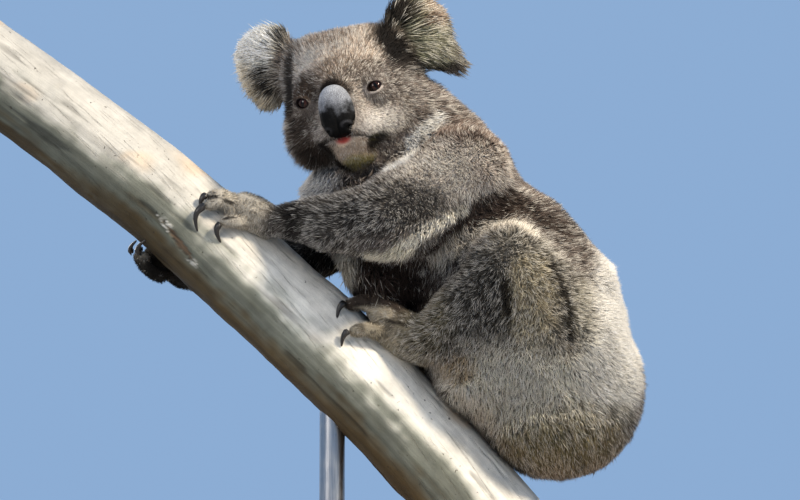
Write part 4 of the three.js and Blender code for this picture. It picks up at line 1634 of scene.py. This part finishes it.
    def _laid(self, roots: Roots, face: Array) -> tuple[Array, Array, Array]:
        """Leans every tuft along the coat's lie, out to the solids' surface.

        Args:
            roots: Where the tufts grow.
            face: Each root's share of the face.

        Returns:
            Each tuft's root, bend and tip, its half width, and whether it is long.
        """
        rng, count = self.rng, len(roots.points)
        names = ("rise", "longest", "width", "spread", "clump")
        sizes = {n: self._blended(roots.weights, face, n) for n in names}
        longer = 1 + (self._lengthened(self.longer, near_half(roots.points), 0.6) - 1) * (1 - face)
        wispy = self._lengthened(self.wisps, HEAD.into(roots.points), 0.5)
        rise = np.radians(np.clip(sizes["rise"] / longer + 9 * rng.normal(0, 1, count), 8, 75))
        swing = np.radians(sizes["spread"] * rng.normal(0, 1, count) + 12 * noise(roots.points, 16, 22))
        across = np.cross(roots.normals, roots.lie)
        way = roots.lie * np.cos(swing)[:, None] + across * np.sin(swing)[:, None]
        heading = way * np.cos(rise)[:, None] + roots.normals * np.sin(rise)[:, None]
        free = self._room(roots, heading)
        uneven = 0.95 + 0.16 * noise(roots.points, 11, 21)
        free = free * (1 + 0.7 * (longer - 1)) + 6 * (wispy - 1) * rng.uniform(0.2, 1.0, count)
        length = np.minimum(free * uneven * rng.uniform(0.8, 1.12, count), sizes["longest"] * longer * wispy)
        ear = share_of(roots.weights, Part.EAR)
        stray = (rng.random(count) < self.strays[0] + self.strays[1] * ear) & (face < 0.5)
        length = length * np.where(stray, rng.uniform(*self.stray_reach, count), 1.0)
        length = np.maximum(length, self.shortest[0] + self.shortest[1] * face)
        tip = roots.points + heading * length[:, None]
        self.reach = tip.copy()
        bend = roots.points + heading * (0.52 * length)[:, None] + roots.normals * (0.07 * length)[:, None]
        start = roots.points - roots.normals * 0.6
        leads = []
        for every, share in self.locks:
            leads.append(self._leading(roots, every))
            bend, tip = self._clumped(roots, bend, tip, sizes["clump"] * share, leads[-1])
        self.leader = leads[0]
        bend, tip = self._off_perch(bend), self._off_perch(tip)
        width = sizes["width"] * rng.uniform(0.75, 1.25, count)
        is_long = (ear >= roots.weights.max(axis=1)) | (longer > 1.15)
        return np.stack([start, bend, tip], axis=1), width, is_long

    def _room(self, roots: Roots, heading: Array) -> Array:
        """Returns how far each tuft can go before it leaves the solids."""
        starts = (roots.points + roots.normals * 0.05).tolist()
        cast = self.skin.outer.ray_cast
        room = [cast(p, w, 60)[3] for p, w in zip(starts, heading.tolist())]
        return np.array([2.0 if r is None else r for r in room])

    @staticmethod
    def _lengthened(table: tuple, places: Array, core: float) -> Array:
        """Returns by how much tufts grow longer at places, full within the core of each line's size."""
        out = np.ones(len(places))
        for line, size, factor in table:
            far = Mark(line, size, "#000000").far(places)
            out = np.maximum(out, 1 + (factor - 1) * (1 - fade(far, core, 1.2)))
        return out

    def _leading(self, roots: Roots, every: int) -> Array:
        """Returns the tuft that each tuft gathers to, with one leader for every so many tufts."""
        count = len(roots.points)
        leaders = np.sort(self.rng.choice(count, count // every, replace=False))
        tree = KDTree(len(leaders))
        for k, place in enumerate(roots.points[leaders].tolist()):
            tree.insert(place, k)
        tree.balance()
        return leaders[[tree.find(p)[1] for p in roots.points.tolist()]]

    def _clumped(
        self, roots: Roots, bend: Array, tip: Array, pull: Array, lead: Array
    ) -> tuple[Array, Array]:
        """Returns the bends and tips drawn together in locks, each towards its leader."""
        offset = roots.points - roots.points[lead]
        pull = (pull * self.rng.uniform(0.4, 1.0, len(tip)))[:, None]
        return bend + 0.3 * pull * (bend[lead] + offset - bend), tip + pull * (tip[lead] + 0.3 * offset - tip)

    @staticmethod
    def _off_perch(places: Array) -> Array:
        """Returns the places, with those inside the branch moved out to its bark."""
        run, arm = PERCH.nearest(places)
        far = np.linalg.norm(arm, axis=1)
        short = np.maximum(0, PERCH.radius(run) + 0.6 - far)
        return places + unit(arm) * short[:, None]

    def _coloured(self, roots: Roots, seen: Array) -> Array:
        """Returns the colour of each tuft's root, bend and tip, by where the tuft is seen, with painted shade
        beside the branch and in the skin's hollows.
        """
        rng, count = self.rng, len(roots.points)
        base, pale, dark = MARKINGS.colours(seen, roots.weights)
        base = base * rng.normal(1, self.uneven_tone, count)[:, None].clip(0.45, 1.7)
        warm = rng.normal(0, self.uneven_warmth, count)[:, None] * np.array([1, 0.2, -1])
        base = (base * (1 + warm)).clip(0.003, 0.95)
        draw = rng.random(count)
        draw = np.where(rng.random(count) < 0.5, draw[self.leader], draw)
        shade = base * rng.uniform(0.95, 1.25, count)[:, None]
        is_pale = (draw < pale)[:, None]
        is_dark = (draw > 1 - dark)[:, None]
        strength = rng.uniform(0.5, 1.0, count)[:, None]
        tip = np.where(is_pale, shade + strength * (tone(self.pale_tip) - shade), shade)
        tip = np.where(is_dark, shade + strength * (tone(self.dark_tip) - shade), tip)
        run, arm = PERCH.nearest(seen)
        clear = np.linalg.norm(arm, axis=1) - PERCH.radius(run)
        paws = share_of(roots.weights, Part.HAND, Part.FOOT)
        low = (seen[:, 2] < 330) & (seen[:, 0] > -20)
        near_eye = 1 - MARKINGS.eyes_clear(roots.points)
        # Painted shade: tufts darker near the branch low on the body, and in the skin's hollows, such as
        # between the digits.
        start, end, deep = self.contact
        shadow = (1 - deep * (1 - fade(clear, start, end)) * (1 - paws) * low)[:, None]
        shadow *= (1 - (0.35 + 0.55 * paws) * roots.hollow * (1 - near_eye))[:, None]
        return np.stack([base * self.root_shade, base * 0.7 + tip * 0.2, tip], axis=1) * shadow[:, None]

    def _piece(
        self, name: str, cut: Cut, roots: Roots, paths: Array, widths: Array, colours: Array, chosen: Array
    ) -> Object:
        """Joins some of the tufts into one piece.

        Args:
            name: The piece's name.
            cut: Which shape its tufts have.
            roots: Where all tufts grow.
            paths: Root, bend and tip of all tufts.
            widths: Half widths of all tufts.
            colours: Colours at root, bend and tip of all tufts.
            chosen: Which tufts this piece holds.

        Returns:
            The piece.
        """
        path, width, count = paths[chosen], widths[chosen], len(chosen)
        normal = roots.normals[chosen]
        first = unit(path[:, 1] - path[:, 0])
        second = unit(path[:, 2] - path[:, 1])
        side = unit(np.cross(first, normal))
        rings = []
        for k, way in enumerate((first, unit(first + second))[: cut.value]):
            up = np.cross(side, way)
            for angle in (90, 210, 330):
                a = math.radians(angle)
                spoke = side * math.cos(a) + up * math.sin(a) * 0.75
                rings.append(path[:, k] + spoke * width[:, None])
        points = np.stack([*rings, path[:, 2]], axis=1)
        size = points.shape[1]
        faces = (cut.faces()[None] + size * np.arange(count)[:, None, None]).reshape(-1, 3)
        piece = new_object(name, points.reshape(-1, 3), faces)
        spread = colours[chosen][:, [0, 0, 0, 1, 1, 1][: size - 1] + [2]]
        paint_points(piece.data, spread.reshape(-1, 3))
        low, high = roots.uv[chosen].min(0), roots.uv[chosen].max(0)
        home = 0.002 + (roots.uv[chosen] - low) / (high - low) * 0.996
        uv = home[:, None] + cut.square()[None] * self.map_patch
        layer = piece.data.uv_layers.new(name=UV_LAYER)
        layer.data.foreach_set("uv", uv.reshape(-1, 2)[faces.ravel()].ravel())
        return piece


# ---------------------------------------------------------------- eyes, nose and claws
@dataclass
class Eyes:
    """The two eyeballs, each with its cornea and a map seen along the gaze."""

    hide: Hide
    rings: int = 40
    around: int = 64
    pole: float = 0.02
    cornea: float = 0.5
    cornea_reach: float = 0.55

    def build(self) -> list[Object]:
        """Returns both eyeballs."""
        material = EyeFinish().material()
        return [self._ball(side, hand, material) for side, hand in (("l", 1), ("r", -1))]

    def _ball(self, side: str, hand: int, material: Material) -> Object:
        """Returns one eyeball in place of its solid."""
        low, high = (np.array(c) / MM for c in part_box(f"eye_{side}"))
        centre, radius = (low + high) / 2, float((high - low).mean() / 2)
        _, axes = self.hide.eye_axes(hand)
        x, y, polar = globe(self.rings, self.around, self.pole)
        swell = radius + self.cornea * np.exp(-((polar / self.cornea_reach) ** 4))
        local = np.stack([x, y, np.cos(polar)], axis=-1)
        local = (local * swell[..., None]).reshape(-1, 3)
        places = centre + local @ axes @ HEAD.turn().T
        piece = new_object(f"eyeball_{side}", places, ring_faces(self.rings, self.around))
        closed(piece.data)
        map_points(piece.data, "gaze", 0.5 + local[:, :2] / (2 * radius))
        dress(piece, material)
        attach(piece, "root")
        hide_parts(f"eye_{side}")
        return piece


@dataclass
class Nose:
    """The long leathery nose pad with its nostrils."""

    centre: tuple = (0, -67.5, PAD_LEVEL)
    radii: tuple = (16.4, 13.2, 24.6)
    squareness: tuple = (0.88, 0.74, 0.92)
    rings: int = 90
    around: int = 120
    pole: float = 0.03
    dabs: tuple = (
        Dab((11.5, -76, -26), (6.5, 12, 6), 3.0),
        Dab((0, -80, 8), (11, 14, 16), 0.9),
        Dab((11.4, -80, -26.8), (3.2, 12, 2.3), -7.0),
        Dab((15.2, -78, -23.4), (2.2, 12, 2.6), -5.0),
        Dab((0, -80, -27), (1.3, 14, 8), -1.3),
        Dab((0, -76, -38), (13, 20, 5), -1.5),
    )

    def build(self) -> Object:
        """Returns the nose pad in place of its solid."""
        x, y, polar = globe(self.rings, self.around, self.pole)
        ball = np.stack([x, -np.cos(polar), y], axis=-1).reshape(-1, 3)
        wide = 1 + 0.1 * np.exp(-(((ball[:, 2] + 0.62) / 0.34) ** 2))
        shape = np.sign(ball) * np.abs(ball) ** np.array(self.squareness)
        local = shape * np.array(self.radii)
        local[:, 0] *= wide
        local += np.array(self.centre)
        faces = ring_faces(self.rings, self.around)
        triangles = np.concatenate([faces[:, :3], faces[:, [0, 2, 3]]])
        normals = point_normals(local, triangles)
        outward = np.sign(np.einsum("ij,ij->", normals, local - np.array(self.centre)))
        place = left_half(local)
        front = fade(-local[:, 1], 66, 70)
        for dab in self.dabs:
            far = bounded(place, dab.at, dab.radii)
            local = local + outward * normals * (dab.push * np.exp(-(far**2)) * front)[:, None]
        piece = new_object("nose_pad", HEAD.out(local), faces)
        closed(piece.data)
        low, high = local.min(0), local.max(0)
        map_points(piece.data, "pad", ((local - low) / (high - low))[:, [0, 2]])
        dress(piece, NoseFinish().material())
        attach(piece, "root")
        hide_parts("nose")
        return piece


@dataclass
class Claws:
    """The hooked claws, rounded from their solids."""

    levels: int = 2
    stouter: float = 0.34

    def build(self) -> list[Object]:
        """Returns one claw for each claw of the frame."""
        material = HornFinish().material()
        return [self._claw(n, material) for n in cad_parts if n.startswith("claw_")]

    def _claw(self, node: str, material: Material) -> Object:
        """Returns one claw in place of its solid."""
        solid = bmesh.new()
        solid.from_mesh(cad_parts[node].data)
        bmesh.ops.remove_doubles(solid, verts=solid.verts, dist=0.01 * MM)
        mesh = bpy.data.meshes.new(node)
        solid.to_mesh(mesh)
        solid.free()
        piece = linked(node.replace("claw", "horn"), mesh)
        rounded = piece.modifiers.new("rounded", "SUBSURF")
        rounded.levels = rounded.render_levels = self.levels
        applied(piece)
        points, triangles = read_mesh(piece.data)
        normals = point_normals(points, triangles)
        tree = BVHTree.FromPolygons(points.tolist(), triangles.tolist())
        inward = (points - normals * 0.05).tolist()
        thick = np.array([tree.ray_cast(p, w, 20)[3] or 0 for p, w in zip(inward, (-normals).tolist())])
        thick = relaxed(thick[:, None], edges_of(piece.data), 4)
        points += normals * (0.2 + self.stouter * thick)
        write_points(piece.data, points)
        shade_smooth(piece.data)
        dress(piece, material)
        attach(piece, "root")
        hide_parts(node)
        return piece


# ---------------------------------------------------------------- the perch and its stand
@dataclass
class Perch:
    """The length of gum branch: undulating bark with a torn scar, and sawn ends.

    waves are layers of unevenness: the size of their lumps, their height and their seed.
    The scar, the knots and the swelling are at lengths along the branch and degrees round
    it. The colour fields give the bark's colours by degrees from the upper side, darker below partly as
    painted shade of the underside, and the painted light and shade by the length along.
    """

    along: int = 330
    around: int = 168
    waves: tuple = ((46, 1.1, 31), (17, 0.5, 32), (6, 0.22, 33))
    highest: float = 3.6
    crease_deep: float = 0.8
    scar: tuple = (303, 119)
    scar_size: tuple = (22, 3.6)
    scar_deep: float = 1.4
    lip_high: float = 0.9
    knots: tuple = ((120, 60), (205, 150), (420, 130), (560, 75), (610, 170), (90, -60), (380, -120))
    knot_swell: tuple = (9, 1.5)
    knot_pit: tuple = (3.2, -2.0)
    swelling: tuple = (452, 36)
    swelling_size: tuple = (24, 3.2)
    # Bark colours by degrees from the upper side: partly bark colour, partly painted shade that darkens the
    # flank and underside.
    zones_and_shade: tuple = (
        (0, "#d5d0c5"), (56, "#dcd7cb"), (78, "#d9d5c9"), (90, "#b3b2a4"), (101, "#7c7e72"),
        (122, "#686a5e"), (136, "#5e5745"), (148, "#51452f"), (180, "#3d3322"),
    )  # fmt: skip
    # Painted light and shade by the length along: darker at the high end, paler towards the low end.
    painted_light_along: tuple = ((0, 240, 420), (0.7, 0.78, 1.12))
    flush: str = "#c9ab86"
    lip_tone: str = "#e9e5da"
    wood: tuple = ("#33261d", "#7f664e")

    def build(self) -> list[Object]:
        """Returns the bark with its end faces."""
        run = np.linspace(0, PERCH.length, self.along)
        turn = np.arange(self.around) / self.around * 360
        runs, turns = (grid.ravel() for grid in np.meshgrid(run, turn, indexing="ij"))
        flat = PERCH.place(runs, turns, 0.0)
        height = sum(high * noise(flat, size, seed) for size, high, seed in self.waves)
        creases = self._drawn_out(runs, turns, 40, 5.5, 34)
        height -= self.crease_deep * fade(creases, 0.4, 0.7)
        swollen = self._apart(runs, turns, *self.swelling)
        height += self.swelling_size[1] * np.exp(-((swollen / self.swelling_size[0]) ** 2))
        wound, lip = self._scar(runs, turns, flat)
        height += -self.scar_deep * wound + self.lip_high * lip
        for at_run, at_turn in self.knots:
            far = self._apart(runs, turns, at_run, at_turn)
            for wide, high in (self.knot_swell, self.knot_pit):
                height += high * np.exp(-((far / wide) ** 2))
        height = np.minimum(height, self.highest)
        faces = ring_faces(self.along, self.around)[:, ::-1]
        bark = new_object("gum_branch", PERCH.place(runs, turns, height), faces)
        paint_points(bark.data, self._painted(runs, turns, flat, wound, lip, creases))
        map_points(bark.data, "bark", np.stack([runs, np.abs(turns - 180) * 0.8], axis=1) * MM)
        self._close_ends(bark)
        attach(bark, "root")
        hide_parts("perch_branch")
        return [bark]

    @staticmethod
    def _drawn_out(runs: Array, turns: Array, along: float, degrees: float, seed: int) -> Array:
        """Returns noise drawn out along the branch, from its lumps' size along it and round it."""
        return noise(np.stack([runs / along, turns / degrees, runs * 0], axis=1), 1, seed)

    @staticmethod
    def _apart(runs: Array, turns: Array, at_run: float, at_turn: float) -> Array:
        """Returns the distance over the bark from one place on it."""
        angle = (turns - at_turn + 180) % 360 - 180
        return np.hypot(runs - at_run, np.radians(angle) * PERCH.radius_high)

    def _scar(self, runs: Array, turns: Array, flat: Array) -> tuple[Array, Array]:
        """Returns how far each place is in the torn scar, and on its raised pale lip."""
        angle = (turns - self.scar[1] + 180) % 360 - 180
        x = (runs - self.scar[0]) / self.scar_size[0]
        y = (np.radians(angle) * PERCH.radius_high - 5 * x) / self.scar_size[1]
        far = np.hypot(x, y) + 0.4 * noise(flat, 7, 35) + 0.25 * noise(flat, 2.5, 36)
        lip = np.exp(-(((far - 1.15) / 0.13) ** 2)) * fade(noise(flat, 12, 43), -0.3, 0.3)
        return 0.85 * (1 - fade(far, 0.7, 0.95)), lip

    def _painted(
        self, runs: Array, turns: Array, flat: Array, wound: Array, lip: Array, creases: Array
    ) -> Array:
        """Returns the bark's colours: white above, grey-green on the flank and brown below, darker below
        partly as painted shade, with painted light and shade along the length and painted shade in the
        creases.
        """
        down = 180 - np.abs(turns - 180)
        long_noise = self._drawn_out(runs, turns, 60, 9, 37)
        down = down + 12 * noise(flat, 52, 38) + 16 * long_noise + 7 * noise(flat, 9, 39)
        places = [z[0] for z in self.zones_and_shade]
        stops = np.stack([tone(z[1]) for z in self.zones_and_shade])
        colour = np.stack([np.interp(down, places, stops[:, k]) for k in range(3)], axis=1)
        # Painted light and shade along the length.
        colour *= np.interp(runs, *self.painted_light_along)[:, None]
        flush = 0.5 * fade(noise(flat, 34, 40), 0.25, 0.7) * (1 - fade(down, 60, 90))
        tint(colour, flush, self.flush)
        veins = self._drawn_out(runs, turns, 90, 4, 42)
        colour *= (1 - 0.24 * fade(veins, 0.1, 0.6) * fade(down, 30, 80))[:, None]
        # Painted shade in the creases on the flank.
        colour *= (1 - 0.45 * fade(creases, 0.35, 0.65) * fade(down, 40, 70))[:, None]
        tint(colour, 0.7 * lip, self.lip_tone)
        grain = fade(self._drawn_out(runs, turns, 16, 2.5, 41), -0.4, 0.5)[:, None]
        dark, light = (tone(c) for c in self.wood)
        return colour + wound[:, None] * (dark + grain * (light - dark) - colour)

    def _close_ends(self, bark: Object) -> None:
        """Adds the sawn end faces, with their rings mapped from the axis out."""
        work = bmesh.new()
        work.from_mesh(bark.data)
        rim = [e for e in work.edges if e.is_boundary]
        caps = bmesh.ops.holes_fill(work, edges=rim, sides=0)["faces"]
        rings = bmesh.ops.inset_region(work, faces=caps, thickness=2.5 * MM, depth=0.0)["faces"]
        for f in (*caps, *rings):
            f.material_index = 1
            f.smooth = False
        bmesh.ops.recalc_face_normals(work, faces=work.faces)
        layer = work.loops.layers.uv.new("rings")
        for f in work.faces:
            if f.material_index == 1:
                for corner in f.loops:
                    point = np.array(corner.vert.co) / MM
                    run, arm = PERCH.nearest(point[None])
                    _, tangent = PERCH.at(run)
                    upper = np.array([-tangent[0, 2], 0, tangent[0, 0]])
                    corner[layer].uv = (arm[0] @ upper / PERCH.radius_high, -arm[0, 1] / PERCH.radius_high)
        work.to_mesh(bark.data)
        work.free()
        bark.data.materials.append(BarkFinish().material())
        bark.data.materials.append(CutWoodFinish().material())


@dataclass
class Stand:
    """The plain display stand: an oak board, and two steel rods with collars."""

    edge: float = 3.0
    sides: int = 48
    collar: tuple = (19, 5)

    def build(self) -> list[Object]:
        """Returns the stand's pieces."""
        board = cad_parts["stand_base"]
        rounded = board.modifiers.new("rounded", "BEVEL")
        rounded.width = self.edge * MM
        rounded.segments = 4
        dress(board, BoardFinish().material())
        steel = SteelFinish().material()
        return [board] + [self._rod(f"stand_rod_{k}", steel) for k in (1, 2)]

    def _rod(self, node: str, material: Material) -> Object:
        """Returns one rod with its collar, in place of its solid."""
        low, high = (np.array(c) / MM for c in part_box(node))
        x, y = (low + high)[:2] / 2
        radius = (high - low)[1] / 2
        wide, tall = self.collar
        top = high[2] - low[2]
        profile = [(wide - 0.8, 0), (wide, 0.8), (wide, tall - 0.8), (wide - 0.8, tall), (radius + 0.6, tall),
                   (radius, tall + 0.6), (radius, top - 1), (radius - 1, top)]  # fmt: skip
        ring = np.arange(self.sides) / self.sides * 2 * math.pi
        points = [[x + r * np.cos(ring), y + r * np.sin(ring), low[2] + z + 0 * ring] for r, z in profile]
        points = np.concatenate([np.stack(p, axis=1) for p in points])
        name = node.replace("stand_rod", "steel_rod")
        piece = new_object(name, points, ring_faces(len(profile), self.sides))
        closed(piece.data)
        piece.data.set_sharp_from_angle(angle=math.radians(35))
        dress(piece, material)
        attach(piece, "root")
        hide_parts(node)
        return piece


# ---------------------------------------------------------------- the studio
@dataclass
class Studio:
    """A plain pale floor, soft light and the camera."""

    target: tuple = (0, 0, 385)
    distance: float = 2600
    look_up: float = 7
    focal_pixels: float = 2730
    picture_pixels: float = 800
    sensor: float = 36
    floor_half: float = 8000
    sky: str = "#a3c8f5"
    sky_strength: float = 0.72
    key_power: float = 118
    fill_power: float = 33
    back_power: float = 52

    def build(self) -> None:
        """Makes the floor, the lights, the surroundings and the camera."""
        self._floor()
        self._camera()
        self._lamp("key", (0.76, -0.68, 0.7), 2.6, 0.42, self.key_power, "#fff1dc")
        self._lamp("fill", (-0.8, -0.9, 0.35), 2.8, 0.8, self.fill_power, "#fff3e6")
        self._lamp("back", (-0.75, 0.95, 0.5), 2.8, 1.4, self.back_power, "#fff6ec")
        world = bpy.data.worlds.new("surroundings")
        world.use_nodes = True
        sky = world.node_tree.nodes["Background"]
        sky.inputs[0].default_value = (*tone(self.sky), 1)
        sky.inputs[1].default_value = self.sky_strength
        bpy.context.scene.world = world
        bpy.context.scene.view_settings.view_transform = "Standard"

    def _floor(self) -> None:
        """Lays the floor."""
        corners = np.array([[-1, -1, 0], [1, -1, 0], [1, 1, 0], [-1, 1, 0]]) * self.floor_half
        floor = new_object("floor", corners, np.array([[0, 1, 2, 3]]))
        dress(floor, FloorFinish().material())

    def _camera(self) -> None:
        """Places the camera low, looking up a little."""
        up = math.radians(self.look_up)
        data = bpy.data.cameras.new("camera")
        data.sensor_width = self.sensor
        data.lens = self.focal_pixels / self.picture_pixels * self.sensor
        camera = linked("camera", data)
        x, y, z = self.target
        camera.location = (
            x * MM,
            (y - self.distance * math.cos(up)) * MM,
            (z - self.distance * math.sin(up)) * MM,
        )
        camera.rotation_euler = (math.pi / 2 + up, 0, 0)
        bpy.context.scene.camera = camera

    def _lamp(self, name: str, way: tuple, metres: float, size: float, power: float, colour: str) -> None:
        """Hangs one soft lamp that shines on the animal.

        Args:
            name: The lamp's name.
            way: From the animal towards the lamp.
            metres: How far off it hangs.
            size: Its side in metres.
            power: Its power in watts.
            colour: Its colour as a hex code.
        """
        data = bpy.data.lights.new(name, "AREA")
        data.size = size
        data.energy = power
        data.color = tuple(tone(colour))
        lamp = linked(name, data)
        out = unit(np.array(way, float))
        lamp.location = np.array(self.target) * MM + out * metres
        lamp.rotation_euler = (0, math.acos(out[2]), math.atan2(out[1], out[0]))


def report(pieces: list[Object]) -> None:
    """Logs each piece's name and its number of faces."""
    for piece in pieces:
        log.info("%s: %d faces", piece.name, len(piece.data.polygons))


def main() -> None:
    """Builds and dresses every sub-assembly in order."""
    logging.basicConfig(level=logging.INFO, format="%(message)s")
    Studio().build()
    hide = Hide()
    skin = hide.build()
    report([skin.piece])
    report(Coat(skin, hide).build())
    report(Eyes(hide).build())
    report([Nose().build()])
    report(Claws().build())
    report(Perch().build())
    report(Stand().build())


if __name__ == "__main__":
    main()
